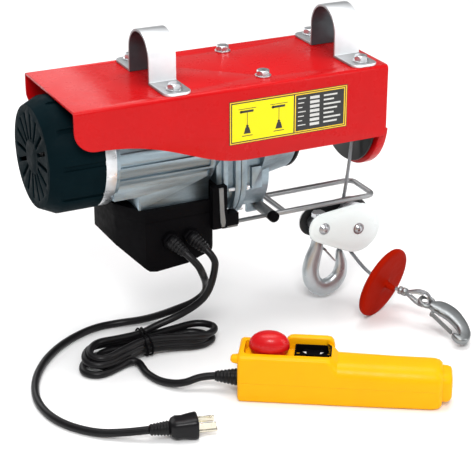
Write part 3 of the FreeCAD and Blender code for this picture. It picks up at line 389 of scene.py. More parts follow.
def bevelled(thing, width, segments=2, angle=35):
    bevel = thing.modifiers.new("bevel", "BEVEL")
    bevel.width = width * MM
    bevel.segments = segments
    bevel.limit_method = "ANGLE"
    bevel.angle_limit = math.radians(angle)
    bevel.harden_normals = True
    bevel.miter_outer = "MITER_ARC"
    return thing


record = frame["record"]
BODY_OF = {node: body for body, members in record["behaviour"]["bodies"].items()
           for node in members}
SLOT_OF = {part["node"]: part["material_slot"] for part in record["subparts"]}


def eased(node, material, width=0.5, segments=2, angle=35):
    """A copy of a design node with its sharp edges broken, which stands for the node."""
    work = bmesh.new()
    work.from_mesh(nodes[node].data)
    bmesh.ops.remove_doubles(work, verts=work.verts, dist=0.00001)
    bmesh.ops.dissolve_limit(work, angle_limit=math.radians(0.6), verts=work.verts,
                             edges=work.edges)
    thing = shaped(node + "_eased", work, BODY_OF[node], SLOT_OF[node], material, [node])
    return bevelled(thing, width, segments, angle)


def skin(rings, caps=True, work=None):
    """Mesh over rings of points, one after another, in a new mesh or in the one that is given."""
    if work is None:
        work = bmesh.new()
    rows = [[work.verts.new(p) for p in ring] for ring in rings]
    count = len(rows[0])
    for here, there in zip(rows, rows[1:]):
        for j in range(count):
            k = (j + 1) % count
            work.faces.new((here[j], here[k], there[k], there[j]))
    if caps:
        work.faces.new(list(reversed(rows[0])))
        work.faces.new(rows[-1])
    return work


def full_turn(steps):
    """Even angles once round."""
    return [2 * math.pi * i / steps for i in range(steps)]


def squarish(turn, power):
    """Cosine and sine of a rounded square; a smaller power is squarer."""
    return [math.copysign(abs(value) ** power, value) for value in (math.cos(turn), math.sin(turn))]


def lathe(profile, start, way, steps):
    """Turned shape: profile is (distance along the axis, radius) in millimetres."""
    way = Vector(way).normalized()
    across = way.orthogonal().normalized()
    other = way.cross(across)
    rings = []
    for distance, radius in profile:
        centre = Vector(start) + way * distance
        radius = max(radius, 0.02)
        rings.append([(centre + (across * math.cos(turn) + other * math.sin(turn)) * radius) * MM
                      for turn in full_turn(steps)])
    return skin(rings)


def smooth_path(points, steps=8):
    """Points along a Catmull-Rom curve through the given points, each a vector of any length."""
    padded = [points[0]] + list(points) + [points[-1]]
    out = []
    for a, b, c, d in zip(padded, padded[1:], padded[2:], padded[3:]):
        for i in range(steps):
            t = i / steps
            out.append([
                0.5 * (2 * q + (r - p) * t + (2 * p - 5 * q + 4 * r - s) * t * t
                       + (3 * q - p - 3 * r + s) * t ** 3)
                for p, q, r, s in zip(a, b, c, d)
            ])
    out.append(list(points[-1]))
    return out


def forged(stations, place, power=2.4):
    """Bar of changing section on a flat path. A station is (x, y, half width, half thickness)."""
    path = smooth_path(stations)
    rings = []
    for i, (x, y, wide, thick) in enumerate(path):
        before = path[max(i - 1, 0)]
        after = path[min(i + 1, len(path) - 1)]
        way = Vector((after[0] - before[0], after[1] - before[1], 0)).normalized()
        across = Vector((-way.y, way.x, 0))
        ring = []
        for turn in full_turn(28):
            c, s = squarish(turn, 2 / power)
            ring.append(place(Vector((x, y, 0)) + across * (wide * c) + Vector((0, 0, thick * s))))
        rings.append(ring)
    return skin(rings)


def nurbs(name, points, radius):
    """Round cord of the given radius along control points, in millimetres."""
    curve = bpy.data.curves.new(name, "CURVE")
    curve.dimensions = "3D"
    line = curve.splines.new("NURBS")
    line.points.add(len(points) - 1)
    for spot, point in zip(line.points, points):
        spot.co = (*(Vector(point) * MM), 1.0)
    line.order_u = 3
    line.use_endpoint_u = True
    line.resolution_u = 10
    curve.bevel_depth = radius * MM
    curve.bevel_resolution = 6
    curve.use_fill_caps = True
    return curve


# ---- cords ----
def gland_tip(x):
    """Where a lead comes out of its gland's boot."""
    return Vector((x, GLAND_Y - 6, GLAND_Z)) + Vector((0.5, -0.7, -0.5)).normalized() * 19


def plug_point(x, y, z):
    return Vector(PLUG_START) + Matrix.Rotation(PLUG_TURN, 3, "Z") @ Vector((x, y, z))


def handset_point(u, v, w):
    """A place on the handset: u along it, v across it and w up from the floor."""
    return Vector(HANDSET_ORIGIN) + Matrix.Rotation(HANDSET_TURN, 3, "Z") @ Vector((u, v, w))


HANDSET_WAY = handset_point(1, 0, 0) - handset_point(0, 0, 0)
LOW = FLOOR_Z + CORD  # a lead that lies on the floor
MAINS_ROUTE = [
    tuple(gland_tip(-112)), (-94, -80, -205), (-86.5, -76, -220), (-74, -57, -241),
    (-71, -48, -257), (-82, -39, -270), (-95, -28, -279), (-110, -18, -287.5), (-127, -5, -296),
    (-150, 8, LOW), (-180, 9, LOW), (-219, -9, LOW), (-252, -39, LOW), (-276, -78, LOW),
    (-287, -120, LOW), (-281, -162, LOW), (-258, -195, LOW), (-232, -214, -297), PLUG_START,
]


def hank_turns():
    """The folded turns: long rings one on another, pinched where the tie holds them."""
    middle_x, middle_y = TIE_AT
    # for each turn: reach to the right and left, half width right and left, height; the last row
    # is what the last turn leads to
    turns = [(77, 64, 18, 20, -284.0), (82, 72, 21, 26, -289.0), (70, 56, 16, 17, -296.0),
             (80, 74, 20, 27, -300.4), (80, 74, 20, 27, -300.4)]
    steps = 14
    first, last = 3, 9  # the lead comes into the first turn here, and leaves the last turn here
    points = []
    for number, (here, after) in enumerate(zip(turns, turns[1:])):
        for i in range(steps):
            if number == 0 and i < first or number == len(turns) - 2 and i > last:
                continue
            share = i / steps
            right, left, wide_right, wide_left, height = (
                a + (b - a) * share * share * share for a, b in zip(here, after))
            turn = 2 * math.pi * share + 0.2
            along = math.cos(turn)
            pinch = 0.40 + 0.60 * min(1.0, 2.2 * along * along)
            if along > 0:
                reach, half, lean = right * along, wide_right, -0.10
            else:
                reach, half, lean = left * along, wide_left, 0.24
            side = math.sin(turn) * half * pinch * (1.25 if abs(along) > 0.5 else 1.0)
            if height > -299:  # clear of the floor
                height += 1.6 * math.sin(3 * turn)
            points.append((middle_x + reach, middle_y + side + lean * reach, height))
    return points


def handset_route():
    end = handset_point(*CORD_END)
    return [
        tuple(gland_tip(-89)), (-73, -78, -204), (-73, -76, -217), (-76.5, -76, -232),
        (-82, -74, -246), (-91, -69, -257), (-104, -64, -266), (-117, -60, -272.5),
        (-133, -57.5, -277.5),
    ] + hank_turns() + [
        (-171, -81, -298.5), (-164.5, -86.5, -299.5), (-165, -97, LOW), (-166, -110, LOW),
        (-160.5, -132, LOW), (-145, -152, -297),
        tuple(end - HANDSET_WAY * 14 + Vector((0, 0, -1))), tuple(end),
    ]


def make_leads():
    leads = []
    for name, route, radius, stands_for in (
            ("mains_lead_cable", MAINS_ROUTE, CORD, ["mains_lead"]),
            ("handset_lead_cable", handset_route(), CORD - 0.2,
             ["handset_lead", "handset_lead_hank"])):
        lead = placed(name, nurbs(name, route, radius))
        lead.data.materials.append(CORD_RUBBER)
        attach(lead, "hoist_frame")
        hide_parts(*stands_for)
        leads.append(lead)
    return leads


mains_cable, handset_cable = make_leads()

ROPE_ROUTE = [
    (117.5, -29, -91.5), (109, -29, -188), (93.6, -29, -222.6), (111.9, -29, -245.2),
    (115.5, -50, -256.5), (114.2, -74, -259.5), DISC_CENTRE, ROPE_END,
]


def centre_line(points):
    """Points read from a route's own spline."""
    curve = nurbs("rope_line", points, 0.0)
    curve.use_fill_caps = False
    holder = placed("rope_line", curve)
    mesh = bpy.data.meshes.new_from_object(holder)
    line = [v.co.copy() for v in mesh.vertices]
    bpy.data.objects.remove(holder)
    bpy.data.meshes.remove(mesh)
    return line


def resampled(line, step):
    out = [line[0].copy()]
    left = step
    for a, b in zip(line, line[1:]):
        length = (b - a).length
        while length >= left:
            a = a + (b - a).normalized() * left
            out.append(a.copy())
            length -= left
            left = step
        left -= length
    out.append(line[-1].copy())
    return out


def stranded(line, sides=7, step=0.0016):
    """Wire rope along a line in metres: strands twisted round a core, as one mesh."""
    line = resampled(line, step)
    strands = 6
    radius = ROPE * MM
    strand = radius * 0.36
    work = bmesh.new()
    up = Vector((0, 0, 1))
    frames = []
    gone = 0.0
    for i, point in enumerate(line):
        way = (line[min(i + 1, len(line) - 1)] - line[max(i - 1, 0)]).normalized()
        up = up - way * up.dot(way)
        if up.length < 0.1:
            up = way.orthogonal()
        up.normalize()
        frames.append((point, way, up.copy(), gone))
        if i + 1 < len(line):
            gone += (line[i + 1] - point).length
    for number in range(strands + 1):
        rows = []
        for point, way, side, distance in frames:
            other = way.cross(side)
            turn = 2 * math.pi * (number / strands + distance / ROPE_LAY)
            away = (side * math.cos(turn) + other * math.sin(turn)) * (radius - strand)
            centre = point + (away if number < strands else Vector((0, 0, 0)))
            size = strand if number < strands else radius * 0.45
            rows.append([centre + (side * math.cos(spin) + other * math.sin(spin)) * size
                         for spin in full_turn(sides)])
        skin(rows, work=work)
    return work


rope_points = centre_line(ROPE_ROUTE)
rope_piece = shaped("wire_rope_strands", stranded(rope_points), "hook_block",
                    "wire_rope_steel", ROPE_STEEL, ["wire_rope"])


# ---- cover, clamps, bolts and bracket ----
eased("top_cover", RED, 0.7, 2, 40)
eased("drum_end_bracket", RED, 0.6)
# the clamps' material carries painted shade inside and on top of their bows
for clamp in ("beam_clamp_left", "beam_clamp_right"):
    eased(clamp, CLAMP_ZINC_SHADED, 0.7, 3)
eased("cover_bolts", ZINC, 0.35)


# ---- rating label ----
def drawn(name, shapes, lift, material, thick=0.1):
    """Flat shapes on the cover's front flange, each a list of (x, z) points, as one piece."""
    work = bmesh.new()
    for points in shapes:
        skin([[mm(x, FLANGE_Y - lift + depth, z) for x, z in points] for depth in (0, thick)],
             work=work)
    shaped(name, work, "hoist_frame", "label_film", material, smooth=False)


def bar(x0, x1, z0, z1):
    return [(x0, z0), (x1, z0), (x1, z1), (x0, z1)]


def disc_points(x, z, radius):
    return [(x + radius * math.cos(turn), z + radius * math.sin(turn)) for turn in full_turn(14)]


def pictogram(x):
    """Generic picture of a hoist: a bar, a motor block, a rope and a weight."""
    return [
        bar(x - 10, x + 10, -47.8, -47.2), bar(x - 7, x + 7, -51.6, -49.2),
        disc_points(x - 7, -50.4, 1.5), bar(x - 0.3, x + 0.3, -66.0, -51.6),
        disc_points(x, -66.2, 1.5), bar(x - 6, x + 6, -76.9, -76.1),
        [(x - 2.0, -67.4), (x - 4.0, -74.2), (x + 4.0, -74.2), (x + 2.0, -67.4)],
    ]


def rating_label():
    for name, corners, lift, material in (
            ("label_rim", (-53.4, 81.4, -83.9, -39.1), 0.05, LABEL_ORANGE),
            ("label_frame", (-52.2, 80.2, -82.8, -40.2), 0.1, LABEL_BLACK),
            ("label_warning_field", (-51.0, 19.0, -81.6, -41.4), 0.16, LABEL_YELLOW),
            ("label_table_edge", (20.4, 79.2, -81.9, -41.1), 0.14, LABEL_ORANGE),
            ("label_table_field", (21.6, 78.0, -80.8, -42.2), 0.2, LABEL_BLACK)):
        drawn(name, [bar(*corners)], lift, material, 0.35)
    drawn("label_pictures", pictogram(-34) + pictogram(2), 0.24, LABEL_BLACK)
    rows = []
    for i in range(7):
        z = -45.6 - 4.8 * i
        rows.append(bar(24.0, 33 - 2 * (i % 3), z - 1.0, z))
        rows.append(bar(38, 49, z - 2.6, z + 0.4))
        rows.append(bar(54, 74 - 4 * ((i + 1) % 3), z - 1.8, z))
    drawn("label_table_rows", rows, 0.26, LABEL_WHITE)


rating_label()

# ---- design nodes that are kept as they are ----
for material, members in (
        (BLACK, ["cooling_fan"]), (LAMINATION, ["stator_core", "rotor_core"]),
        (COPPER, ["stator_windings"]), (BRONZE, ["intermediate_bushes"]),
        (GREY, ["run_capacitor", "switch_contact_block", "switch_plunger"]),
        (LABEL_BLACK, ["rating_label"]),
        (STEEL, ["motor_shaft", "ball_bearings", "intermediate_gear", "output_gear", "drum_shaft",
                 "hook_trunnion", "sheave_axle"])):
    for node in members:
        nodes[node].data.materials.clear()
        nodes[node].data.materials.append(material)

# ---- motor ----
eased("fan_cover", FAN_BLACK, 0.9, 3, 30)
eased("motor_end_ring", ZINC, 0.8, 3)
eased("motor_housing", MOTOR, 0.6)

# ---- gearbox ----
eased("gearbox_case", CAST, 0.7)
eased("gearbox_cover", CAST, 0.8)
eased("housing_screws", ZINC, 0.25)

# ---- drum ----
eased("rope_drum", BLACK_PAINT, 0.5)


def drum_rope():
    """The layer of rope on the drum, from its left end."""
    start_x, pitch, turns, steps = 42.2, 3.98, 18, 40
    line = []
    for i in range(turns * steps):
        turn = 2 * math.pi * (i / steps) + math.pi
        line.append(mm(start_x + i / steps * pitch, DRUM_ROPE * math.cos(turn),
                       AXIS_Z - DRUM_ROPE * math.sin(turn)))
    work = stranded(line, sides=5, step=0.0034)
    shaped("drum_rope_layer", work, "drum_assembly", "wire_rope_steel", ROPE_STEEL,
           ["rope_windings"])


drum_rope()

# ---- control box ----
eased("control_box", BLACK, 1.6, 3)
eased("control_box_lid", BLACK, 1.4, 3)
eased("limit_switch", BLACK, 0.5)


def gland_piece(node, x):
    """Hexagon nut and a ribbed, tapered strain relief."""
    seat = Vector((x, GLAND_Y, GLAND_Z))
    start = seat + Vector((0, -6, 0))
    way = gland_tip(x) - start
    profile = [(-3, 6.5), (0, 7.3)]
    ribs, root, end = 5, 7.2, 4.7
    for i in range(ribs):
        share = i / ribs
        size = root + (end - root) * share
        base = 1.0 + share * (way.length - 1.5)
        profile += [(base, size), (base + 0.5, size + 0.5), (base + 1.9, size + 0.35),
                    (base + 2.3, size - 0.7), (base + 3.2, size - 0.8)]
    profile += [(way.length, 4.5), (way.length + 0.1, 4.0)]
    boot = shaped(node + "_boot", lathe(profile, start, way, 32), "hoist_frame",
                  "black_plastic", CORD_RUBBER, [node])
    nut = lathe([(0, 9.6), (4.6, 9.6), (5.8, 8.6), (6.0, 6.0)], seat, (0, -1, 0), 6)
    bevelled(shaped(node + "_nut", nut, "hoist_frame", "black_plastic", BLACK, smooth=False), 0.6)
    return boot


mains_boot = gland_piece("mains_gland", -112)
handset_boot_top = gland_piece("handset_gland", -89)


def switch_strap():
    """Pressed strap that holds the limit switch to the gearbox flange."""
    front, back = -61.6, -59.8
    outline = [(-60.5, -134), (-55.5, -134), (-54.5, -160), (-53, -173), (-54, -178),
               (-57.5, -178), (-59, -172)]
    work = skin([[mm(x, y, z) for x, z in outline] for y in (front, back)])
    bevelled(shaped("switch_strap", work, "hoist_frame", "zinc_steel", DULL_STEEL, smooth=False),
             0.5)


switch_strap()

# ---- limit bail ----
eased("limit_bail", BAIL_STEEL, 0.3, 2, 50)
eased("bail_pivot_block", DULL_STEEL, 0.6)
eased("bail_pivot_pin", BLACK, 0.6)


# ---- hook block ----
def egg(inset, y):
    """Outline of a side plate: a large round end at the sheave and a small one at the hook."""
    big = 29.0 - inset
    small = 17.5 - inset
    (bx, bz), (sx, sz) = SHEAVE, HOOK_PIN
    way = math.atan2(sz - bz, sx - bx)
    spread = math.acos((big - small) / math.hypot(sx - bx, sz - bz))
    ring = []
    for i in range(24):
        turn = way + spread + (2 * math.pi - 2 * spread) * i / 23
        ring.append(mm(bx + big * math.cos(turn), y, bz + big * math.sin(turn)))
    for i in range(16):
        turn = way - spread + 2 * spread * i / 15
        ring.append(mm(sx + small * math.cos(turn), y, sz + small * math.sin(turn)))
    return ring


def domed_plate(node, side, material):
    """Pressed side plate with a rolled edge and a raised middle."""
    inner = BLOCK_Y + side * 10.5
    steps = [(16.0, 4.4), (13.0, 4.3), (9.0, 4.0), (6.0, 3.3), (4.2, 2.7), (2.6, 2.5), (1.0, 2.5),
             (0.2, 2.1), (0.0, 1.4), (0.2, 0.3), (1.0, 0.0), (3.4, 0.0), (5.2, 0.4), (7.0, 1.2),
             (10.0, 1.9), (16.0, 2.2)]
    work = skin([egg(inset, inner + side * rise) for inset, rise in steps])
    bevelled(shaped(node + "_pressed", work, "hook_block", "white_paint", material, [node]),
             0.3, 2, 50)


domed_plate("block_plate_front", -1, WHITE)
# the back plate's inner face carries painted shade
domed_plate("block_plate_back", 1, BACK_PLATE_SHADED)
eased("sheave", STEEL, 0.5)


def rivets():
    """Domed rivet heads at the sheave and the hook, on both sides of the block."""
    for label, (x, z), size in (("sheave", SHEAVE, 4.6), ("hook", HOOK_PIN, 5.0)):
        for side, mark in ((-1, "front"), (1, "back")):
            profile = [(0, size + 1.6), (1.6, size + 1.5), (2.0, size), (3.6, size - 0.8),
                       (4.6, size - 2.4), (5.0, 0.0)]
            work = lathe(profile, (x, BLOCK_Y + side * 13.6, z), (0, side, 0), 32)
            shaped("rivet_" + label + "_" + mark, work, "hook_block", "bare_steel", STEEL)


rivets()


def on_hook(point):
    return mm(point.x, BLOCK_Y + point.z, point.y)


def make_main_hook():
    stations = [
        (75, -205, 5.0, 5.0), (75, -220, 5.4, 5.4), (75, -229, 6.4, 5.8), (73.4, -240, 7.6, 6.0),
        (69.2, -253, 9.4, 6.2), (66.8, -267, 9.6, 6.6), (70.2, -281, 9.6, 7.0),
        (80.5, -290, 9.6, 7.2), (92.6, -289, 9.6, 7.0), (102.4, -280.5, 8.7, 6.4),
        (105.6, -268, 7.2, 5.6), (104.3, -257.5, 5.4, 4.6),
        (102.6, -250, 3.6, 3.6), (102.0, -246.6, 1.2, 1.4),
    ]
    shaped("main_hook_forged", forged(stations, on_hook), "load_hook", "chrome_plate", CHROME,
           ["main_hook"])
    x, up = HOOK_PIN[0], (0, 0, 1)
    collar = lathe([(0, 6.0), (0.6, 8.4), (3.6, 8.6), (5.2, 8.0), (6.4, 6.2)],
                   (x, BLOCK_Y, -229), up, 32)
    shaped("main_hook_collar", collar, "load_hook", "chrome_plate", CHROME)
    nut = lathe([(0, 7.2), (0.5, 7.8), (5.4, 7.8), (6.0, 7.2)], (x, BLOCK_Y, -203.1), up, 6)
    bevelled(shaped("main_hook_nut", nut, "load_hook", "chrome_plate", ZINC, smooth=False), 0.4)


make_main_hook()
eased("main_hook_latch", STEEL, 0.25)


# ---- rope tail ----
def tail_frame(way):
    ahead = Vector(way).normalized()
    side = Vector((0, 0, 1)).cross(ahead).normalized()
    return ahead, side, ahead.cross(side)


DISC_PROFILE = [
    (-6.0, 2.6), (-6.0, 6.4), (-5.6, 8.4), (-3.6, 9.0), (-3.2, 12), (-3.5, 34), (-3.4, 38.0),
    (-2.6, 40.2), (-1.2, 40.9), (1.2, 40.9), (2.6, 40.2), (3.4, 38.0), (3.5, 34), (3.2, 12),
    (3.6, 6.4), (4.4, 4.4), (6.0, 3.6), (15.0, 3.1), (15.4, 2.4)]
FERRULE_PROFILE = [
    (0, 2.4), (0.2, 4.0), (1.0, 4.5), (3.0, 4.6), (3.6, 4.1), (4.4, 4.1), (5.0, 4.6), (7.6, 4.6),
    (9.4, 4.3), (10, 3.4)]
stop_disc_piece = shaped("stop_disc_moulded", lathe(DISC_PROFILE, DISC_CENTRE, DISC_WAY, 72),
                         "hook_block", "red_plastic", DARK_RED, ["stop_disc"])
ferrule_piece = shaped("rope_ferrule_pressed", lathe(FERRULE_PROFILE, ROPE_END, THIMBLE_WAY, 28),
                       "hook_block", "chrome_plate", END_STEEL, ["rope_ferrule"])


def make_thimble():
    """The rope's eye: rope laid round a drop-shaped thimble."""
    ahead, side, up = tail_frame(THIMBLE_WAY)
    start = Vector(ROPE_END)

    def at(x, z, y=0.0):
        return (start + ahead * x + up * z + side * y) * MM

    half = [(9, 1.2), (14, 3.4), (20, 6.6), (24.5, 8.0), (28.5, 8.4), (32.8, 7.2), (35.6, 4.0)]
    loop = half + [(36.6, 0)] + [(x, -z) for x, z in reversed(half)]
    path = [at(x, z) for x, z in smooth_path(loop, 6)]
    eye = shaped("rope_eye", stranded(path), "hook_block", "wire_rope_steel", ROPE_STEEL)
    inner = smooth_path([(x * 0.995, z * 0.74) for x, z in loop[1:-1]], 5)
    channel = [(-2.6, -1.4), (-1.4, 0.1), (0, 0.5), (1.4, 0.1), (2.6, -1.4), (1.2, -0.9),
               (0, -0.5), (-1.2, -0.9)]
    rings = []
    for i, (x, z) in enumerate(inner):
        before = inner[max(i - 1, 0)]
        after = inner[min(i + 1, len(inner) - 1)]
        way = Vector((after[0] - before[0], after[1] - before[1])).normalized()
        normal = Vector((-way.y, way.x))
        rings.append([at(x + normal.x * a, z + normal.y * a, y) for y, a in channel])
    shell = shaped("rope_thimble_shell", skin(rings), "hook_block", "chrome_plate", ZINC,
                   ["rope_thimble"])
    return eye, shell


def make_end_hook():
    ahead, side, up = tail_frame(END_HOOK_WAY)
    eye_centre = Vector(ROPE_END) + Vector(THIMBLE_WAY).normalized() * 30

    def place(point):
        return (eye_centre + ahead * point.x + side * point.y + up * point.z) * MM

    stations = [
        (10.5, 0, 4.4, 3.6), (14.5, 3.0, 7.4, 4.2), (20.5, 8.0, 10.2, 4.6), (31, 11.6, 9.9, 4.8),
        (43, 11.2, 8.4, 4.8), (54, 8.6, 7.2, 4.7), (63.5, 3.2, 6.6, 4.6), (67.6, -3.6, 6.0, 4.5),
        (65.2, -8.0, 4.2, 4.2), (60.4, -8.6, 2.9, 3.6), (57.9, -8.3, 2.0, 2.6),
        (56.9, -8.2, 0.8, 1.4),
    ]
    shaped("end_hook_body", forged(stations, place, power=3.0), "rope_end_hook", "chrome_plate",
           END_STEEL, ["end_hook"])
    middle, eye, bar_radius = Vector((4.8, 0, 0)), 7.8, 2.2
    rings = []
    for turn in full_turn(40):
        spoke = Vector((math.cos(turn), math.sin(turn), 0))
        rings.append([place(middle + spoke * (eye + bar_radius * math.cos(spin))
                            + Vector((0, 0, bar_radius * math.sin(spin))))
                      for spin in full_turn(12)])
    rings.append(rings[0])
    work = skin(rings, False)
    bmesh.ops.remove_doubles(work, verts=work.verts, dist=0.00001)
    shaped("end_hook_eye", work, "rope_end_hook", "chrome_plate", END_STEEL)


eye_piece, thimble_piece = make_thimble()
make_end_hook()
eased("end_hook_latch", DULL_STEEL, 0.4)


# ---- plug ----
def make_plug():
    """Moulded plug: a ribbed relief and a waisted grip, which the prongs stand in."""
    sections = [(19, 6.0, 5.6), (21, 9.0, 8.0), (25, 10.8, 9.6), (31, 10.4, 9.4),
                (37, 11.4, 10.4), (43, 12.0, 11.2), (45.2, 12.0, 11.2), (46.0, 11.4, 10.6)]
    around = [squarish(turn, 0.55) for turn in full_turn(32)]
    rings = [[plug_point(x, wide * c, high * s) * MM for c, s in around]
             for x, wide, high in sections]
    body = shaped("plug_grip", skin(rings), "hoist_frame", "cord_rubber", CORD_RUBBER,
                  ["plug_body"])
    bevelled(body, 0.5, 2, 50)
    profile = [(0, 4.5)]
    for i in range(6):
        base = 1.0 + 3.0 * i
        size = 4.9 + 0.33 * i
        profile += [(base, size), (base + 0.4, size + 0.7), (base + 1.7, size + 0.7),
                    (base + 2.1, size)]
    profile += [(20, 6.6)]
    way = plug_point(1, 0, 0) - plug_point(0, 0, 0)
    relief = shaped("plug_relief", lathe(profile, PLUG_START, way, 28), "hoist_frame",
                    "cord_rubber", CORD_RUBBER)
    return body, relief


plug_grip, plug_relief = make_plug()
prongs = eased("plug_prongs", BRASS, 0.25)


# ---- cord tie ----
def make_tie():
    """Wire tie wrapped twice round the bunch."""
    made = []
    for number, x in enumerate((-151.0, -146.0)):
        ring = []
        for turn in full_turn(14):
            c, s = squarish(turn, 0.7)
            ring.append((x + 1.5 * math.sin(turn * 2 + number), TIE_AT[1] + 17.5 * c,
                         -291.6 + 12.0 * s))
        curve = nurbs("cord_tie_wrap", ring, 1.1)
        curve.splines[0].use_endpoint_u = False
        curve.splines[0].use_cyclic_u = True
        curve.splines[0].resolution_u = 12
        curve.bevel_resolution = 4
        curve.use_fill_caps = False
        wrap = placed("cord_tie_wrap_%d" % number, curve)
        curve.materials.append(BLACK)
        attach(wrap, "hoist_frame")
        made.append(wrap)
    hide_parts("cord_tie")
    return made


ties = make_tie()


# ---- handset ----
def section(u, v0, v1, w0, w1, top, bottom):
    """Rectangle across the handset at u, with its top and bottom corners rounded by two radii."""
    corners = [
        (v1 - top, w1 - top, top, 0), (v0 + top, w1 - top, top, 90),
        (v0 + bottom, w0 + bottom, bottom, 180), (v1 - bottom, w0 + bottom, bottom, 270),
    ]
    ring = []
    for v, w, radius, start in corners:
        for i in range(7):
            turn = math.radians(start + 90 * i / 6)
            ring.append(handset_point(u, v + radius * math.cos(turn),
                                      w + radius * math.sin(turn)) * MM)
    return ring


def handset_block(name, stations):
    return to_mesh(name, skin([section(*station) for station in stations]))


def combined(mesh, other, operation):
    """The mesh with another joined on or cut out; both are used up."""
    first, second = placed("first", mesh), placed("second", other)
    join = first.modifiers.new("join", "BOOLEAN")
    join.operation = operation
    join.solver = "EXACT"
    join.object = second
    bpy.context.view_layer.update()
    graph = bpy.context.evaluated_depsgraph_get()
    result = bpy.data.meshes.new_from_object(first.evaluated_get(graph), depsgraph=graph)
    bpy.data.objects.remove(first)
    bpy.data.objects.remove(second)
    return result


def handset_form():
    """The handset's outside in one: body, guard beside the rocker and nub, less the pocket."""
    body = handset_block("handset_body", [
        (0, 2.6, 43.4, 2.6, 47.4, 3, 3), (0.6, 1.2, 44.8, 1.2, 48.8, 3.4, 3),
        (2.6, 0, 46, 0, 50, 3.6, 3), (40, 0, 46, 0, 50, 3.6, 3), (86, 0, 46, 0, 50, 3.6, 3),
        (91, 0, 46, 0, 49.0, 6, 3), (94.5, 0, 45.4, 0, 46.2, 11, 3), (98, 0, 44.6, 0, 43.4, 14, 3),
        (150, 0, 44, 0, 42.6, 15, 4), (193, 0, 44, 0, 42.4, 15, 5),
        (198, 0.8, 43.2, 1.0, 41.2, 14.6, 5), (201, 3.4, 40.6, 3.4, 38.6, 12, 5),
    ])
    guard = handset_block("handset_guard", [
        (45, 38.6, 45.4, 34, 47, 2, 1), (46.5, 38.2, 45.8, 34, 52, 2.6, 1),
        (49.5, 38, 46, 34, 55, 3, 1), (54, 38, 46, 34, 55.8, 3, 1), (86, 38, 46, 34, 55.8, 3, 1),
        (90.5, 38, 46, 34, 55, 3, 1), (93.2, 38.2, 45.6, 34, 52, 2.6, 1),
        (94.4, 39, 44.6, 34, 47, 2, 1),
    ])
    nub = handset_block("handset_nub", [
        (-7, 5.5, 10.5, 42.4, 46.4, 1.8, 1.8), (-5.4, 3.6, 12.4, 41, 47.8, 2.8, 2.8),
        (0, 2.4, 13.6, 40, 48.2, 3, 3), (6, 2.4, 13.6, 39, 48.2, 3, 3),
    ])
    pocket = handset_block("handset_pocket", [
        (5.5, 13, 34, 41, 62, 2, 1), (6.5, 10, 37, 41, 62, 2, 1), (9, 8.6, 38.2, 41, 62, 2, 1),
        (86, 8.6, 38.2, 41, 62, 2, 1), (89.5, 10, 37, 41, 62, 2, 1), (90.5, 13, 34, 41, 62, 2, 1),
    ])
    body = combined(body, guard, "UNION")
    body = combined(body, nub, "UNION")
    return combined(body, pocket, "DIFFERENCE")


def half_of(mesh, keep_upper):
    """One half of the handset, cut at the seam between its shells and closed there."""
    seam = 21.0
    split = handset_point(0, 0, seam) * MM
    work = bmesh.new()
    work.from_mesh(mesh)
    cut = bmesh.ops.bisect_plane(
        work, geom=work.verts[:] + work.edges[:] + work.faces[:], plane_co=split,
        plane_no=(0, 0, 1), clear_inner=keep_upper, clear_outer=not keep_upper)
    rim = [e for e in cut["geom_cut"] if isinstance(e, bmesh.types.BMEdge)]
    bmesh.ops.edgeloop_fill(work, edges=rim)
    return work


def make_handset():
    form = handset_form()
    for upper, name, node in ((True, "handset_upper", "handset_upper_shell"),
                              (False, "handset_lower", "handset_lower_shell")):
        shell = shaped(name, half_of(form, upper), "hoist_frame", "yellow_plastic", YELLOW, [node])
        bevelled(shell, 0.7, 3, 28)
    cap = handset_block("handset_cap", [
        (200, 5.4, 39.0, 6.0, 36.0, 10, 6), (206, 5.4, 39.0, 6.0, 35.6, 10, 6),
        (209.6, 6.8, 37.6, 7.6, 34.4, 9, 6), (210.8, 9.4, 35.0, 10.4, 31.6, 7, 5),
        (210.8, 15, 29, 16, 26, 3, 3), (208.6, 16, 28, 17, 25, 3, 3),
    ])
    bevelled(piece("handset_cap", cap, "hoist_frame", "yellow_plastic", YELLOW,
                   ["handset_end_cap"]), 0.5, 2, 40)


def button_rings(profile):
    """Oval rings about the stop button's axis: height, half length and half width of each."""
    u, v = BUTTON
    return [[handset_point(u + long * math.cos(turn), v + short * math.sin(turn), w) * MM
             for turn in full_turn(44)] for w, long, short in profile]


def make_stop_button():
    cap = [(30, 11.8, 11.8), (45.6, 11.8, 11.8), (45.8, 17.4, 11.9), (46.4, 18.6, 12.4),
           (47.4, 18.9, 12.7), (49.2, 18.9, 12.7), (49.8, 19.8, 13.1), (51.5, 20.3, 13.4),
           (55, 20.2, 13.3), (59, 19.0, 12.6), (62.5, 16.2, 11.0), (65.2, 12.2, 8.6),
           (66.6, 7.4, 5.4), (67.0, 0.4, 0.3)]
    shaped("stop_button_cap", skin(button_rings(cap)), "stop_button", "red_plastic", STOP_RED,
           ["emergency_stop_button"])
    collar = [(39.0, 15.6, 13.6), (41.1, 15.5, 13.5), (41.5, 14.9, 13.1), (41.5, 12.6, 12.3),
              (39.0, 12.6, 12.3)]
    shaped("stop_button_collar", skin(button_rings(collar), False), "hoist_frame",
           "black_plastic", BLACK)


def arrow(u, sign):
    """A plain triangle on the rocker's hollow top, which points along the handset or back."""
    middle, centre, radius = ROCKER
    corners = [(u - 1.6 * sign, -1.9), (u - 1.6 * sign, 1.9), (u + 1.8 * sign, 0)]
    heights = [centre - math.sqrt(radius ** 2 - (a - middle) ** 2) for a, _ in corners]
    return skin([[handset_point(a, BUTTON[1] + b, height + lift) * MM
                  for (a, b), height in zip(corners, heights)] for lift in (0.06, -0.24)])


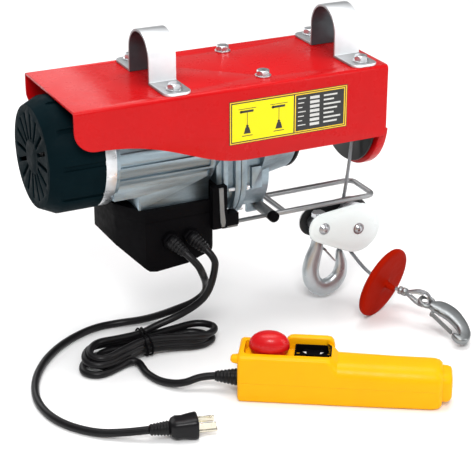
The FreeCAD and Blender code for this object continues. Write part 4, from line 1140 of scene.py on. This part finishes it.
def make_rocker():
    eased("rocker_switch", BLACK, 0.6, 3)
    for name, u, sign in (("rocker_arrow_up", 65.0, -1), ("rocker_arrow_down", 82.0, 1)):
        shaped(name, arrow(u, sign), "rocker", "black_plastic", LABEL_WHITE, smooth=False)
    u0, u1, v0, v1 = 57.5, 89.5, 14.5, 31.5
    rim = []
    for w, grow in ((41.0, 2.6), (49.4, 2.2), (50.4, 1.8), (50.4, 1.2), (49.8, 0.9), (41.0, 0.9)):
        rim.append([handset_point(u, v, w) * MM for v, u in (
            (v1 + grow, u1 + grow), (v1 + grow, u0 - grow), (v0 - grow, u0 - grow),
            (v0 - grow, u1 + grow))])
    bevelled(shaped("rocker_frame", skin(rim, False), "hoist_frame", "black_plastic", BLACK,
                    smooth=False), 0.3)


def make_handset_boot():
    start = handset_point(*CORD_END)
    profile = [(-0.2, 4.2), (0, 4.8)]
    for i in range(5):
        base = 1.5 + 3.6 * i
        size = 5.0 + 0.62 * i
        profile += [(base, size), (base + 0.5, size + 0.5), (base + 2.3, size + 0.7),
                    (base + 2.8, size - 0.1)]
    profile += [(20, 8.6), (22.5, 8.6), (24.5, 7.4)]
    shaped("handset_relief", lathe(profile, start, HANDSET_WAY, 32), "hoist_frame",
           "black_plastic", CORD_RUBBER, ["handset_boot"])


make_handset()
make_stop_button()
make_rocker()
make_handset_boot()


# ---- lengths of the leads and the rope's points, worked out but not kept ----
def spline_length(points):
    line = centre_line(points)
    return sum((b - a).length for a, b in zip(line, line[1:]))


round(spline_length(MAINS_ROUTE), 3)
round(spline_length(handset_route()), 3)
[tuple(p) for p in rope_points]


# ---- stage ----
def floor_material():
    n = Nodes("studio_floor").fixed(specular=0.2)
    n.colour(n.ramp(n.grain(3, 2), [(0.3, (0.90, 0.90, 0.90)), (0.7, (0.93, 0.93, 0.93))]))
    n.roughness(n.spread(n.grain(20, 3), 0.55, 0.7))
    return n.material


def make_floor():
    bpy.ops.mesh.primitive_plane_add(size=14, location=mm(0, 0, FLOOR_Z - 0.05))
    floor = bpy.context.object
    floor.name = "studio_floor"
    floor.data.materials.append(floor_material())


def area_light(name, location, target, size, power):
    data = bpy.data.lights.new(name, "AREA")
    data.shape = "RECTANGLE"
    data.size, data.size_y = size
    data.energy = power
    light = placed(name, data)
    light.location = location
    ahead = Vector(target) - Vector(location)
    light.rotation_euler = ahead.to_track_quat("-Z", "Y").to_euler()


def make_world():
    world = bpy.data.worlds.new("studio")
    bpy.context.scene.world = world
    world.use_nodes = True
    tree = world.node_tree
    where = tree.nodes.new("ShaderNodeTexCoord")
    split = tree.nodes.new("ShaderNodeSeparateXYZ")
    ramp = tree.nodes.new("ShaderNodeValToRGB")
    elements = ramp.color_ramp.elements
    for position, grey in ((0.30, 0.16), (0.52, 0.55)):
        elements.new(position).color = (grey, grey, grey * 1.02, 1)
    elements[0].color = (0.75, 0.75, 0.75, 1)
    elements[-1].color = (1, 1, 1, 1)
    tree.links.new(where.outputs["Generated"], split.inputs[0])
    tree.links.new(split.outputs["Z"], ramp.inputs["Fac"])
    tree.links.new(ramp.outputs["Color"], tree.nodes["Background"].inputs["Color"])
    tree.nodes["Background"].inputs["Strength"].default_value = 0.62


make_floor()
make_world()
area_light("key", (-0.9, -1.9, 1.7), (-0.05, 0, -0.15), (1.0, 1.0), 50)
area_light("fill", (1.5, -1.4, 0.7), (0, 0, -0.15), (0.8, 1.4), 12)
area_light("top", (0.1, 0.3, 1.9), (0, 0, -0.15), (1.8, 1.4), 34)
area_light("back", (-0.4, 1.9, 0.9), (0, 0, -0.1), (1.8, 0.9), 10)
bpy.context.scene.view_settings.view_transform = "Standard"
